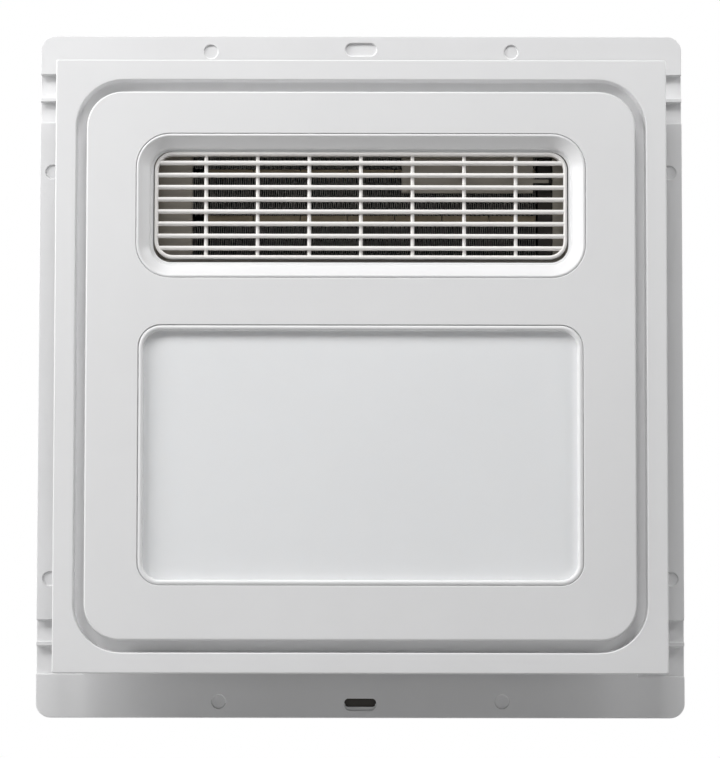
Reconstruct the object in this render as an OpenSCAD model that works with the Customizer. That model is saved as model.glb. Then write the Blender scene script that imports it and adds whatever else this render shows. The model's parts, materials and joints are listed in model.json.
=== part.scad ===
// Bathroom heater exhaust fan, a ceiling unit seen face on.
// Row frame, millimetres: X to the right, Z up the face, Y into the ceiling.
// The ceiling plane is y = 0 and the room is on the -Y side.

/* [Front panel] */
// Width of the square front panel
panel_w = 430; // [415:1:440]
// Height of the square front panel
panel_h = 432; // [420:1:445]
// How far the panel centre sits above the flange centre
panel_rise = 3.5; // [0:0.5:8]
// Distance from the flange face to the front of the panel border
panel_stand = 40; // [38:1:60]
// Depth of the panel skirt behind the border front
panel_skirt = 14; // [10:1:16]
// Wall thickness of the panel moulding
panel_wall = 2.5; // [2:0.1:3]
// Width of the raised middle of the panel
plateau_w = 387; // [370:1:395]
// Height of the raised middle of the panel
plateau_h = 386; // [370:1:392]
// Corner radius of the raised middle
plateau_r = 26; // [15:1:40]
// How far the raised middle stands ahead of the border
plateau_lift = 2.5; // [1.5:0.1:4]
// Width of the groove at the left and right of the raised middle
groove_side = 8; // [5:0.5:9]
// Width of the groove above and below the raised middle
groove_end = 10.5; // [6:0.5:12]
// Depth of the groove below the border front
groove_depth = 3.5; // [2:0.1:5]
// Width of the finger notch in the lower edge of the panel
notch_w = 22; // [14:1:30]
// Distance of the finger notch from the panel centre
notch_x = 200; // [150:1:200]

/* [Panel posts] */
// Radius of the four posts that plug the panel into the flange
post_r = 5; // [4:0.1:6]
// Distance of each post from the middle, across
post_x = 194; // [188:1:197]
// Distance of each post from the panel centre, up and down
post_z = 130; // [60:1:138]
// Radial clearance of a post in its socket
post_gap = 0.3; // [0.2:0.05:0.5]
// Height of each socket above the flange face
socket_h = 22; // [16:1:23]
// Wall thickness of each socket
socket_wall = 2.5; // [2:0.1:3]

/* [Base flange] */
// Width of the flange that lies on the ceiling
flange_w = 458; // [450:1:480]
// Height of the flange that lies on the ceiling
flange_h = 486; // [478:1:510]
// Thickness of the flange
flange_t = 8; // [7:0.5:10]
// Corner radius of the flange
flange_r = 10.5; // [4:0.5:20]
// Length of the two round-ended slots, top and bottom
slot_w = 22.4; // [16:0.1:30]
// Height of the upper slot
slot_h = 9.2; // [6:0.1:10]
// Height of the lower slot
slot_low_h = 8.4; // [6:0.1:10]
// Depth of the blind part of both slots
slot_depth = 1.8; // [1:0.1:3]
// Height of the hole in the lower slot
slot_hole_h = 5.8; // [4:0.1:6]
// Distance of each slot centre from the flange edge
slot_inset = 9.5; // [8:0.1:10]
// Diameter of the round dimples in the flange
dimple_d = 10; // [6:0.5:11]
// Depth of the round dimples
dimple_depth = 1.2; // [0.5:0.1:2]
// Distance of each top dimple from the middle
dimple_top_x = 107.3; // [60:0.1:160]
// Distance of each bottom dimple from the middle
dimple_bottom_x = 100; // [60:0.1:160]
// Height of the side dimples above and below the middle
dimple_side_z = 145; // [90:1:165]
// Width of the outer side channel at each corner
channel_outer_w = 17.5; // [12:0.5:20]
// Width of the inner side channel at each corner
channel_inner_w = 15.3; // [10:0.1:18]
// Thickness of the ridge between the two channels
channel_ridge = 2.6; // [1.5:0.1:4]
// Depth of the side channels
channel_depth = 3; // [1.5:0.1:4]
// Height of the outermost channel edge above and below the middle
channel_z = 213.8; // [205:0.1:220]
// Distance of each ceiling screw hole from the middle, across
fixing_x = 206; // [202:1:212]
// Distance of each ceiling screw hole from the middle, up and down
fixing_z = 160; // [150:1:168]
// Radius of the four ceiling screw holes
fixing_r = 2.6; // [2:0.1:3]
// Depth of the shallow recesses in the back of the flange
relief_depth = 2; // [1:0.1:2.5]

/* [Outlet] */
// Width of the bezel round the outlet
bezel_w = 316; // [308:1:322]
// Height of the bezel round the outlet
bezel_h = 102; // [96:1:106]
// Corner radius of the bezel
bezel_r = 24; // [16:1:30]
// Height of the bezel centre above the panel centre
bezel_rise = 112.2; // [108:0.1:116]
// Width of the flat bead round the bezel mouth
bezel_bead = 2.6; // [1.5:0.1:4]
// Depth of the funnel from the panel face to the throat
funnel_depth = 10; // [7:0.5:12]
// Wall thickness of the funnel
funnel_wall = 2; // [1.5:0.1:2.5]
// Gap between the grille and the funnel throat, at the sides
throat_gap = 1.5; // [1:0.1:3]
// Gap between the bezel edge and the panel window
window_gap = 0.4; // [0.2:0.1:0.8]
// Width of the outlet grille
grille_w = 291; // [280:1:292]
// Height of the outlet grille
grille_h = 76; // [72:1:78]
// Height of the grille centre above the flange centre
grille_z = 117; // [115:0.1:119]
// Corner radius of the grille
grille_r = 13; // [8:1:16]
// Width of the rim of the grille
grille_rim = 2.6; // [2:0.1:4]
// Depth of the grille
grille_depth = 8; // [6:0.5:10]
// Number of horizontal blades
blade_count = 8; // [6:1:8]
// Pitch of the blades
blade_pitch = 8.65; // [8:0.05:8.8]
// Thickness of each blade
blade_t = 3; // [2:0.1:3.5]
// Number of upright ribs
rib_count = 7; // [4:1:7]
// Pitch of the ribs
rib_pitch = 36.4; // [30:0.1:38]
// Thickness of each rib
rib_t = 2.8; // [2:0.1:3.5]
// How far the front of the ribs sits behind the blades
rib_back = 3; // [1:0.5:4]

/* [Light] */
// Width of the frame round the light
lens_frame_w = 312; // [300:1:320]
// Height of the frame round the light
lens_frame_h = 182.5; // [170:0.5:190]
// Corner radius of the frame round the light
lens_frame_r = 16; // [10:1:24]
// Drop of the light centre below the panel centre
lens_drop = 63.5; // [56:0.5:66]
// Width of the rim that shows round the lens
lens_rim = 4; // [3:0.1:6]
// How far the lens sits behind the panel face
lens_recess = 5; // [3:0.1:6]
// Thickness of the lens
lens_t = 2.5; // [2:0.1:3]
// Width of the tray behind the lens
tray_w = 280; // [250:1:290]
// Height of the tray behind the lens
tray_h = 156; // [140:1:160]
// Thickness of the tray sheet
tray_sheet = 1.2; // [1:0.1:1.6]
// Distance from the tray front to the back of the lens
tray_air = 7; // [5:0.5:10]
// Width of the light board
board_w = 260; // [220:1:272]
// Height of the light board
board_h = 136; // [120:1:148]
// Thickness of a circuit board
board_t = 1.6; // [1.2:0.1:2]
// Number of light chips across the board
chip_cols = 8; // [4:1:10]
// Number of light chip rows
chip_rows = 4; // [2:1:6]
// Edge of each light chip
chip_size = 3.5; // [2:0.1:5]
// Width of the straps that carry the tray
strap_w = 20; // [18:1:26]

/* [Housing] */
// Width of the steel housing
housing_w = 372; // [370:1:380]
// Height of the steel housing
housing_h = 392; // [390:1:400]
// Depth of the steel housing above the ceiling plane
housing_d = 192; // [190:1:220]
// Thickness of the housing sheet
sheet = 1.2; // [1:0.1:1.5]
// Width of the turned-in rim that the flange is screwed to
rim_w = 10; // [9:0.5:12]
// Radius of the general assembly screws
screw_r = 1.9; // [1.5:0.1:2]
// Clearance round a screw in its hole
screw_gap = 0.1; // [0.08:0.01:0.2]
// Distance of the hanging brackets from the middle, up and down
bracket_z = 120; // [100:1:130]
// Reach of each hanging bracket from the housing side
bracket_reach = 30; // [26:1:36]
// Width of each hanging bracket
bracket_w = 40; // [34:1:50]
// Thickness of the bracket steel
bracket_t = 2; // [1.6:0.1:2.5]
// Radius of the rounded ends of the hanging slots
hanger_r = 4.5; // [3.5:0.1:5]
// Total length of each hanging slot
hanger_len = 18; // [14:1:20]

/* [Exhaust collar] */
// Outside radius of the collar that the duct is pushed over
collar_r = 49; // [47:0.5:52]
// Wall thickness of the collar
collar_wall = 3; // [2:0.1:3.5]
// Length of the collar beyond its plate
collar_len = 55; // [50:1:70]
// Distance of the collar axis from the ceiling plane
collar_y = 110; // [108:1:116]
// Side of the square collar plate
collar_plate = 116; // [112:1:124]
// Thickness of the collar plate
collar_plate_t = 2; // [1.5:0.1:3]
// Clearance of the flap inside the collar
flap_gap = 1.5; // [1:0.1:2.5]
// Thickness of the flap
flap_t = 1.5; // [1:0.1:2]
// Offset of the flap pivot from the collar axis
flap_offset = 8; // [5:0.5:10]
// Height of the flap pivot above the collar plate
flap_z = 30; // [28:1:36]
// Radius of the flap pin
flap_pin_r = 1.5; // [1:0.1:2]

/* [Outlet chamber] */
// Width of the chamber that the damper works in
chamber_w = 294; // [294:1:300]
// Distance of the chamber front from the ceiling plane
chamber_y = 40; // [36:1:41]
// Depth of the chamber
chamber_d = 140; // [136:1:148]
// Height of the chamber floor above the flange centre
chamber_floor = 22; // [20:1:30]
// Wall thickness of the duct between chamber and grille
duct_wall = 2; // [1.5:0.1:2]
// Length of the damper plate from its hinge
damper_len = 116; // [114:1:118]
// Thickness of the damper plate
damper_t = 2; // [1.5:0.1:2.5]
// Thickness of each foam seal on the damper
seal_t = 4; // [3:0.1:4.5]
// Radius of the damper shaft
damper_shaft_r = 3; // [2.5:0.1:3.5]
// Height of the damper hinge above the flange centre
damper_z = 180; // [178:0.5:181]
// Distance of the damper hinge behind the chamber front
damper_inset = 7.5; // [7:0.5:9]

/* [Heater] */
// Width of the finned part of the heater
heater_w = 245; // [230:1:246]
// Distance of the heater to the right of the middle
heater_x = 3; // [0:0.5:4]
// Depth of the heater fins
heater_d = 30; // [24:1:32]
// Distance from the grille back to the heater front
heater_gap = 15.5; // [14:0.5:18]
// Pitch of the folded fins
fin_pitch = 3.25; // [2.5:0.25:5]
// Thickness of the fin foil
fin_t = 0.4; // [0.3:0.05:0.5]
// Height of one fin layer
fin_layer = 9.35; // [9:0.05:9.4]
// Thickness of a heating element strip
element_t = 5; // [4:0.1:5]
// Height of the upper heating strip above the grille centre
element_rise = 26.3; // [26:0.1:26.5]
// Number of ceramic tiles in each strip
tile_count = 7; // [5:1:9]

/* [Fan] */
// Outside radius of the fan wheel
wheel_r = 75; // [68:1:76]
// Height of the fan wheel along its axis
wheel_h = 74; // [60:1:76]
// Number of blades on the fan wheel
wheel_blades = 32; // [20:1:40]
// Radial depth of the wheel blades
wheel_blade_depth = 13; // [10:1:16]
// Fan axis, distance to the right of the middle
fan_x = -12; // [-16:1:-8]
// Fan axis, distance below the flange centre
fan_drop = 80; // [78:1:82]
// Smallest inside radius of the scroll
scroll_r = 80; // [79:1:81]
// Growth of the scroll radius over one turn
scroll_growth = 40; // [36:1:42]
// Wall thickness of the scroll
scroll_wall = 2; // [1.6:0.1:2.5]
// Distance of the scroll front from the ceiling plane
scroll_y = 60; // [58:1:61]
// Radius of the fan motor
motor_r = 42; // [34:1:44]
// Length of the fan motor
motor_len = 30; // [26:1:32]
// Radius of the motor shaft
shaft_r = 4; // [3:0.1:5]

/* [Electrics] */
// Width of the control box
control_w = 50; // [44:1:54]
// Height of the control box
control_h = 120; // [100:1:126]
// Depth of the control box
control_d = 44; // [36:1:46]
// Wall thickness of the plastic boxes
box_wall = 1.6; // [1.2:0.1:2]
// Depth of the terminal box on the housing side
terminal_d = 32; // [28:1:40]
// Height of the terminal box
terminal_h = 70; // [60:1:80]
// Width of the terminal box along the housing
terminal_w = 60; // [56:1:70]
// Inside radius of the cable gland
gland_bore = 5; // [3.5:0.1:5.5]
// Outside radius of the cable gland body
gland_r = 8; // [7.5:0.1:9]

/* [Display] */
// Name of the one sub-part to draw, or all

/* [Hidden] */

$fn = 64;
eps = 0.01;
tight = 0.05;
flange_face = -flange_t;
border_y = flange_face - panel_stand;
face_y = border_y - plateau_lift;
panel_back = border_y + panel_skirt;
opening_w = housing_w - 2 * rim_w;
opening_h = housing_h - 2 * rim_w;
half_w = housing_w / 2;
half_h = housing_h / 2;
bezel_z = panel_rise + bezel_rise;
lens_z = panel_rise - lens_drop;
groove_w = plateau_w + 2 * groove_side;
groove_h = plateau_h + 2 * groove_end;
groove_r = plateau_r + groove_side;
throat_w = grille_w + 2 * throat_gap;
throat_h = grille_h + 4;
throat_y = face_y + funnel_depth;
lip_t = 1.5;
lip_w = 3;
lens_y = face_y + lens_recess;
lens_w = lens_frame_w - 2 * lens_rim;
lens_h = lens_frame_h - 2 * lens_rim;
lens_seat = 2;
pane_w = lens_w + 2 * lens_seat;
pane_h = lens_h + 2 * lens_seat;
pane_r = lens_frame_r - lens_rim + lens_seat;
post_tip = flange_face - 2;
post_foot_rim = 2.5;
post_foot_t = 2;
socket_bottom = flange_face + 4.5;
slot_r = slot_h / 2 - 0.1;
slot_low_r = slot_low_h / 2 - 0.1;
slot_hole_r = slot_hole_h / 2 - 0.1;
slot_shelf = (slot_low_h - slot_hole_h) / 2;
slot_z = flange_h / 2 - slot_inset;
slot_plug_t = 2.5;
dimple_top_inset = 11.2;
dimple_bottom_inset = 11.5;
dimple_side_inset = 9.2;
channel_start = 20;
head_sink = 2;
relief_w = 16;
relief_start = 12;
relief_end = 36;
rim_screw_x = 110;
rim_screw_z = 60;
rim_screw_bite = 6;
loose_gap = 0.3;
wire_hole_r = 6;
wire_hole_rise = 22;
collar_inset = 6;
collar_corner = 8;
chamber_screw_inset = 30;
chamber_screw_y = 45;
bracket_low = 20;
bracket_seat = 60;
bracket_screw_low = 8;
bracket_screw_high = 14;
bracket_screw_side = 10;
hanger_shift = 1;
terminal_inset = 8;
sheet_screw_len = 8;
hole_len = 30;
stop_t = 2;
stop_w = 2.5;
stop_reach = 16;
stop_gap = 0.5;
barrel_wall = 1.8;
seat_wall = 2;
duct_flange_t = 2;
duct_flange_side = 1;
duct_flange_end = 8;
cutout_x = 60;
cutout_back = 12;
cutout_r = 9;
cutout_h = 8;
cutout_plug_r = 4.6;
cutout_plug = 6;
cutout_tab = 12;
cutout_tab_w = 6;
cutout_tab_t = 0.8;
grille_front = throat_y - 1;
grille_back = grille_front + grille_depth;
duct_in_w = grille_w - 3;
duct_in_h = grille_h - 1;
duct_out_w = duct_in_w + 2 * duct_wall;
duct_out_h = duct_in_h + 2 * duct_wall;
heater_y = grille_back + heater_gap;
heater_back = heater_y + heater_d;
upper_strip = grille_z + element_rise;
strip_pitch = 3 * fin_layer + element_t;
lower_strip = upper_strip - strip_pitch;
bracket_sheet = 1.5;
bracket_face = heater_y - bracket_sheet;
heater_left = heater_x - heater_w / 2;
heater_right = heater_x + heater_w / 2;
element_inset = 9.5;
top_layer = grille_z + duct_in_h / 2 - upper_strip - element_t / 2 - tight;
cap_w = 10.5;
cap_x = heater_right + cap_w;
cap_foot = 3;
cap_step = 7;
cap_step_z = upper_strip - 15;
ledge_z = upper_strip - 6.3;
ledge_h = 2.6;
tab_pitch = 22;
tab_w = 6;
tab_t = 0.8;
tab_back = 12;
shield_x = 29;
shield_end = 3.2;
shield_hem = 7.6;
shield_hook = 11;
chamber_back = chamber_y + chamber_d;
chamber_top = half_h - sheet;
collar_in = collar_r - collar_wall;
collar_foot = half_h + collar_plate_t;
flap_pivot_y = collar_y + flap_offset;
flap_pivot_z = collar_foot + flap_z;
damper_y = chamber_y + damper_inset;
seat_gap = 0.5;
seat_z = damper_z + damper_t / 2 + seal_t + seat_gap;
bush_r = damper_shaft_r + 2;
bush_len = 4;
bush_rim = 2;
bush_rim_t = 1.6;
drive_r = 13;
drive_len = 19;
drive_drop = 8;
drive_bore = 12;
ear_r = 3.5;
ear_t = 1.2;
ear_y = drive_r + 2 * screw_r + 0.7;
damper_gap = 5;
damper_w = chamber_w - 2 * sheet - 2 * damper_gap;
damper_barrel = 1.6;
seal_inset = 2;
shaft_stub = 4;
fan_z = -fan_drop;
scroll_max = scroll_r + scroll_growth;
tongue_a = 40;
tongue_r = scroll_r + scroll_growth * tongue_a / 360;
tongue_x = tongue_r * cos(tongue_a);
scroll_rise = chamber_floor - fan_z;
wheel_gap = 8;
wheel_front = scroll_y + wheel_gap;
wheel_back = wheel_front + wheel_h;
wheel_plate = 2.5;
wheel_ring_h = 4;
wheel_ring_w = 3;
scroll_back = wheel_back + wheel_gap;
inlet_r = wheel_r - wheel_blade_depth;
grommet_h = 2;
grommet_r = 5;
motor_front = scroll_back + grommet_h;
motor_back = motor_front + motor_len;
motor_boss_r = 14;
motor_boss_h = 6;
motor_groove_y = 9;
motor_groove_w = 3;
motor_groove_depth = 1.5;
motor_hole_r = 26;
motor_screw_inset = 6;
motor_screw_len = 14;
standoff_inset = 14;
standoff_r = 6;
shaft_end = motor_front + motor_len - 6;
shaft_tip = 8;
hub_wall = 8;
hub_r = shaft_r + hub_wall;
hub_h = 26;
nut_wall = 3;
nut_h = 6;
bell_h = 5;
bell_t = 2;
bell_w = 8;
lug_r = 5.5;
lug_h = 12;
lug_out = 3;
scroll_screw_len = 10;
tray_front = lens_y + lens_t + tray_air;
tray_back = flange_face - 2;
tray_corner = 8;
board_corner = 3;
chip_t = 0.8;
strap_inset = 36;
strap_z = tray_h / 2 - strap_inset;
strap_screw_out = 4;
strap_screw_len = 9;
light_screw_x = 100;
driver_x0 = -70;
driver_x1 = 40;
driver_h = 32;
driver_d = 22;
driver_mouth = 4;
driver_mouth_h = 16;
driver_mouth_y = 6;
driver_mouth_d = 10;
board_gap = 1;
board_end = 4;
board_stand = 6;
board_peg_r = 1.8;
control_foot = 5;
control_foot_h = 10;
control_foot_inset = 6;
control_x = -half_w + sheet + control_foot;
control_y = 8;
control_z = -186;
terminal_y = 70;
terminal_z = 60;
terminal_x = -half_w - terminal_d;
gland_x = -half_w - terminal_d / 2;
gland_y = terminal_y + terminal_w / 2;
lid_notch = 5;
lid_notch_h = 3;
block_w = 24;
block_d = 16;
block_h = 36;
block_rise = 14;
block_pitch = 12;
block_hole_r = 3;
block_hole_y = 12;
block_shift = 4;
gland_thread = 9;
gland_hex = 3;
gland_hex_h = 6;
gland_cap = 1.5;
gland_cap_h = 14;
gland_neck = 1;
nut_plate = 5;
nut_rim = 4;

// Draws a flat shape in X and Z and gives it depth along Y.
module along_y(y0, y1) {
  translate([0, y1, 0]) rotate([90, 0, 0]) linear_extrude(y1 - y0) children();
}

// Draws a flat shape in Y and Z and gives it length along X.
module along_x(x0, x1) {
  translate([x0, 0, 0]) rotate([90, 0, 90]) linear_extrude(x1 - x0) children();
}

// A box between two opposite corners.
module block(x0, x1, y0, y1, z0, z1) {
  translate([x0, y0, z0]) cube([x1 - x0, y1 - y0, z1 - z0]);
}

// A rectangle with round corners, centred.
module rounded(w, h, r) {
  square([w - 2 * r, h], center = true);
  square([w, h - 2 * r], center = true);
  for (x = [-1, 1], z = [-1, 1]) {
    translate([x * (w / 2 - r), z * (h / 2 - r)]) circle(r);
  }
}

// A round bar along Y.
module rod_y(x, z, r, y0, y1) {
  translate([x, y0, z]) rotate([-90, 0, 0]) cylinder(r = r, h = y1 - y0);
}

// A round bar along X.
module rod_x(y, z, r, x0, x1) {
  translate([x0, y, z]) rotate([0, 90, 0]) cylinder(r = r, h = x1 - x0);
}

// A round bar along Z.
module rod_z(x, y, r, z0, z1) {
  translate([x, y, z0]) cylinder(r = r, h = z1 - z0);
}

// A pan-head screw whose head sits at y and whose thread runs to +Y.
module screw_y(x, z, y, len, r) {
  rod_y(x, z, r, y - eps, y + len);
  difference() {
    rod_y(x, z, 2 * r, y - r, y);
    block(x - 1.5 * r, x + 1.5 * r, y - r - eps, y - 0.55 * r, z - 0.2 * r, z + 0.2 * r);
    block(x - 0.2 * r, x + 0.2 * r, y - r - eps, y - 0.55 * r, z - 1.5 * r, z + 1.5 * r);
  }
}

// Cuts a hole for an assembly screw along Z.
module screw_hole() {
  cylinder(r = screw_r + screw_gap, h = hole_len, center = true);
}

// Places of the four panel posts.
module at_posts() {
  for (x = [-post_x, post_x], z = [-post_z, post_z]) {
    translate([x, 0, panel_rise + z]) children();
  }
}

// Flange on the ceiling, with slots, dimples, side channels and the post sockets.
module base_flange() {
  color([0.88, 0.88, 0.88])
  difference() {
    union() {
      along_y(flange_face, 0) difference() {
        rounded(flange_w, flange_h, flange_r);
        square([opening_w, opening_h], center = true);
      }
      at_posts()
        rod_y(0, 0, post_r + post_gap + socket_wall, flange_face - socket_h, flange_face + eps);
    }
    at_posts() rod_y(0, 0, post_r + post_gap, flange_face - socket_h - 1, socket_bottom);
    translate([0, 0, slot_z]) along_y(flange_face - 1, flange_face + slot_depth)
      rounded(slot_w, slot_h, slot_r);
    translate([0, 0, -slot_z]) along_y(flange_face - 1, flange_face + slot_depth)
      rounded(slot_w, slot_low_h, slot_low_r);
    translate([0, 0, slot_shelf - slot_z]) along_y(flange_face, 1)
      rounded(slot_w, slot_hole_h, slot_hole_r);
    for (x = [-1, 1]) {
      rod_y(x * dimple_top_x, flange_h / 2 - dimple_top_inset, dimple_d / 2, flange_face - 1,
          flange_face + dimple_depth);
      rod_y(x * dimple_bottom_x, dimple_bottom_inset - flange_h / 2, dimple_d / 2, flange_face - 1,
          flange_face + dimple_depth);
      for (z = [-1, 1]) {
        rod_y(x * (flange_w / 2 - dimple_side_inset), z * dimple_side_z, dimple_d / 2, flange_face - 1,
            flange_face + dimple_depth);
        side_channels(x, z);
        flange_relief(x, z);
      }
    }
    flange_screw_holes(screw_r + loose_gap, flange_face - 1, 1);
    translate([0, 0, lens_z]) strap_screw_places()
      rod_y(0, 0, screw_r + screw_gap, flange_face - 1, 1);
    for (x = [-fixing_x, fixing_x], z = [-fixing_z, fixing_z]) {
      rod_y(x, z, fixing_r, flange_face - 1, 1);
      rod_y(x, z, 2 * fixing_r, flange_face - 1, flange_face + head_sink);
    }
  }
}

// Dark plug that closes the hole of the lower slot from behind.
module slot_plug() {
  color([0.10, 0.10, 0.10])
  translate([0, 0, slot_shelf - slot_z]) along_y(-slot_plug_t, 0)
    rounded(slot_w - tight, slot_hole_h - tight, slot_hole_r - tight / 2);
}

// Two channels side by side that let air in at a corner.
module side_channels(x, z) {
  inner_z = channel_z - channel_outer_w - channel_ridge;
  floor_y = flange_face + channel_depth;
  start = opening_w / 2 + channel_start;
  x0 = x > 0 ? start : -flange_w / 2 - 1;
  x1 = x > 0 ? flange_w / 2 + 1 : -start;
  outer = z > 0 ? channel_z - channel_outer_w : -channel_z;
  inner = z > 0 ? inner_z - channel_inner_w : -inner_z;
  block(x0, x1, flange_face - 1, floor_y, outer, outer + channel_outer_w);
  block(x0, x1, flange_face - 1, floor_y, inner, inner + channel_inner_w);
}

// Shallow recess in the back of the flange.
module flange_relief(x, z) {
  mid = (housing_w + flange_w) / 4 + 1;
  half = relief_w / 2;
  long = post_z - relief_end;
  low = z > 0 ? relief_start : -relief_start - long;
  block(x * mid - half, x * mid + half, -relief_depth, 1, low, low + long);
}

// Eight screws that hold the flange to the housing rim.
module flange_screw_holes(r, y0, y1) {
  for (x = [-1, 1], z = [-1, 1]) {
    rod_y(x * (half_w - rim_w / 2), z * rim_screw_z, r, y0, y1);
    rod_y(x * rim_screw_x, z * (half_h - rim_w / 2), r, y0, y1);
  }
}

module flange_screws() {
  long = flange_t + rim_screw_bite;
  color([0.75, 0.75, 0.76])
  for (x = [-1, 1], z = [-1, 1]) {
    screw_y(x * (half_w - rim_w / 2), z * rim_screw_z, flange_face, long, screw_r);
    screw_y(x * rim_screw_x, z * (half_h - rim_w / 2), flange_face, long, screw_r);
  }
}

// Folded steel box that sits above the ceiling.
module housing_shell() {
  color([0.66, 0.68, 0.69])
  difference() {
    block(-half_w, half_w, 0, housing_d, -half_h, half_h);
    block(-half_w + sheet, half_w - sheet, sheet, housing_d - sheet, -half_h + sheet,
        half_h - sheet);
    block(-opening_w / 2, opening_w / 2, -1, sheet + 1, -opening_h / 2, opening_h / 2);
    flange_screw_holes(screw_r + screw_gap, -1, sheet + 1);
    rod_z(0, collar_y, collar_in, half_h - 5, half_h + 5);
    collar_screw_places() screw_hole();
    chamber_screw_places() screw_hole();
    bracket_screw_places() rotate([0, 90, 0]) screw_hole();
    terminal_screw_places() rotate([0, 90, 0]) screw_hole();
    rod_x(gland_y, terminal_z + terminal_h / 2 + wire_hole_rise, wire_hole_r, -half_w - 5, -half_w + 5);
  }
}

module collar_screw_places() {
  reach = collar_plate / 2 - collar_inset;
  for (x = [-1, 1], y = [-1, 1]) {
    translate([x * reach, collar_y + y * reach, half_h]) children();
  }
}

module chamber_screw_places() {
  for (x = [-1, 1], y = [-1, 1]) {
    translate([x * (chamber_w / 2 - chamber_screw_inset), collar_y + y * chamber_screw_y, half_h])
      children();
  }
}

module bracket_screw_places() {
  rows = [bracket_low + bracket_screw_low, bracket_seat - bracket_screw_high];
  for (x = [-1, 1], z = [-1, 1], y = rows, s = [-bracket_screw_side, bracket_screw_side]) {
    translate([x * half_w, y, z * bracket_z + s]) children();
  }
}

module terminal_screw_places() {
  for (z = [terminal_inset, terminal_h - terminal_inset]) {
    translate([-half_w, terminal_y + terminal_inset, terminal_z + z]) children();
  }
}

// Four angle brackets with slots for hanging rods.
module hanging_brackets() {
  color([0.62, 0.64, 0.65])
  difference() {
    for (x = [-1, 1], z = [-1, 1]) {
      along = x > 0 ? half_w : -half_w - bracket_t;
      reach = x > 0 ? half_w : -half_w - bracket_reach;
      low = z * bracket_z - bracket_w / 2;
      block(along, along + bracket_t, bracket_low, bracket_seat, low, low + bracket_w);
      block(reach, reach + bracket_reach, bracket_seat - bracket_t, bracket_seat, low,
          low + bracket_w);
    }
    bracket_screw_places() rotate([0, 90, 0]) screw_hole();
    for (x = [-1, 1], z = [-1, 1]) {
      translate([x * (half_w + bracket_reach / 2 + hanger_shift), 0, z * bracket_z])
        along_y(bracket_seat - 2 * bracket_t, bracket_seat + bracket_t)
        rounded(hanger_len, 2 * hanger_r, hanger_r - eps);
    }
  }
}

module bracket_screws() {
  rows = [bracket_low + bracket_screw_low, bracket_seat - bracket_screw_high];
  color([0.75, 0.75, 0.76])
  for (x = [-1, 1], z = [-1, 1], y = rows, s = [-bracket_screw_side, bracket_screw_side]) {
    translate([x * (half_w + bracket_t), y, z * bracket_z + s]) rotate([0, 0, x * 90])
      screw_y(0, 0, 0, sheet_screw_len - 1, screw_r);
  }
}

// Round collar for the exhaust duct, on its square plate.
module duct_collar() {
  stop_z = flap_pivot_z - flap_t / 2 - stop_gap;
  side = 2 * collar_r;
  color([0.80, 0.81, 0.80])
  union() {
    difference() {
      union() {
        translate([0, collar_y, half_h]) linear_extrude(collar_plate_t)
          rounded(collar_plate, collar_plate, collar_corner);
        rod_z(0, collar_y, collar_r, collar_foot - eps, collar_foot + collar_len);
      }
      rod_z(0, collar_y, collar_in, half_h - 1, collar_foot + collar_len + 1);
      rod_x(flap_pivot_y, flap_pivot_z, flap_pin_r + tight, -side, side);
      collar_screw_places() screw_hole();
    }
    difference() {
      rod_z(0, collar_y, collar_in + 1, stop_z - stop_t, stop_z);
      rod_z(0, collar_y, collar_in - stop_w, stop_z - stop_t - 1, stop_z + 1);
      block(-side, side, collar_y - stop_reach, collar_y + side, stop_z - stop_t - 1, stop_z + 1);
    }
  }
}

module collar_screws() {
  color([0.75, 0.75, 0.76])
  collar_screw_places() translate([0, 0, collar_plate_t]) rotate([-90, 0, 0])
    screw_y(0, 0, 0, sheet_screw_len, screw_r);
}

module flap_pin() {
  reach = collar_r - 1;
  color([0.72, 0.73, 0.74])
  rod_x(flap_pivot_y, flap_pivot_z, flap_pin_r, -reach, reach);
}

// Disc that swings open when air leaves through the collar.
module backdraft_flap() {
  r = collar_in - flap_gap;
  barrel = flap_pin_r + barrel_wall;
  half = sqrt(r * r - flap_offset * flap_offset) - 2;
  color([0.30, 0.31, 0.32])
  difference() {
    union() {
      rod_z(0, collar_y, r, flap_pivot_z - flap_t / 2, flap_pivot_z + flap_t / 2);
      rod_x(flap_pivot_y, flap_pivot_z, barrel, -half, half);
    }
    rod_x(flap_pivot_y, flap_pivot_z, flap_pin_r + loose_gap, -collar_r, collar_r);
  }
}

// Sheet chamber where the damper sends air to the room or to the duct.
module outlet_chamber() {
  half = chamber_w / 2;
  color([0.60, 0.62, 0.63])
  difference() {
    union() {
      difference() {
        block(-half, half, chamber_y, chamber_back, chamber_floor, chamber_top);
        block(-half + sheet, half - sheet, chamber_y + sheet, chamber_back - sheet,
            chamber_floor + sheet, chamber_top - sheet);
      }
      rod_z(0, collar_y, collar_in + seat_wall, seat_z, chamber_top - sheet + eps);
    }
    rod_z(0, collar_y, collar_in, seat_z - 5, chamber_top + 5);
    block(-duct_in_w / 2, duct_in_w / 2, chamber_y - 1, chamber_y + sheet + 1,
        grille_z - duct_in_h / 2, grille_z + duct_in_h / 2);
    block(fan_x + tongue_x, fan_x + scroll_max, scroll_y + scroll_wall, scroll_back - scroll_wall,
        chamber_floor - 1, chamber_floor + sheet + 1);
    rod_x(damper_y, damper_z, bush_r + tight, -half - 5, half + 5);
    chamber_screw_places() screw_hole();
    collar_screw_places() screw_hole();
    for (s = [-ear_y, ear_y]) {
      rod_x(damper_y + s, damper_z - drive_drop, screw_r + screw_gap, half - 5, half + 5);
    }
  }
}

module chamber_screws() {
  color([0.75, 0.75, 0.76])
  chamber_screw_places() rotate([-90, 0, 0]) screw_y(0, 0, 0, sheet_screw_len, screw_r);
}

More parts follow.
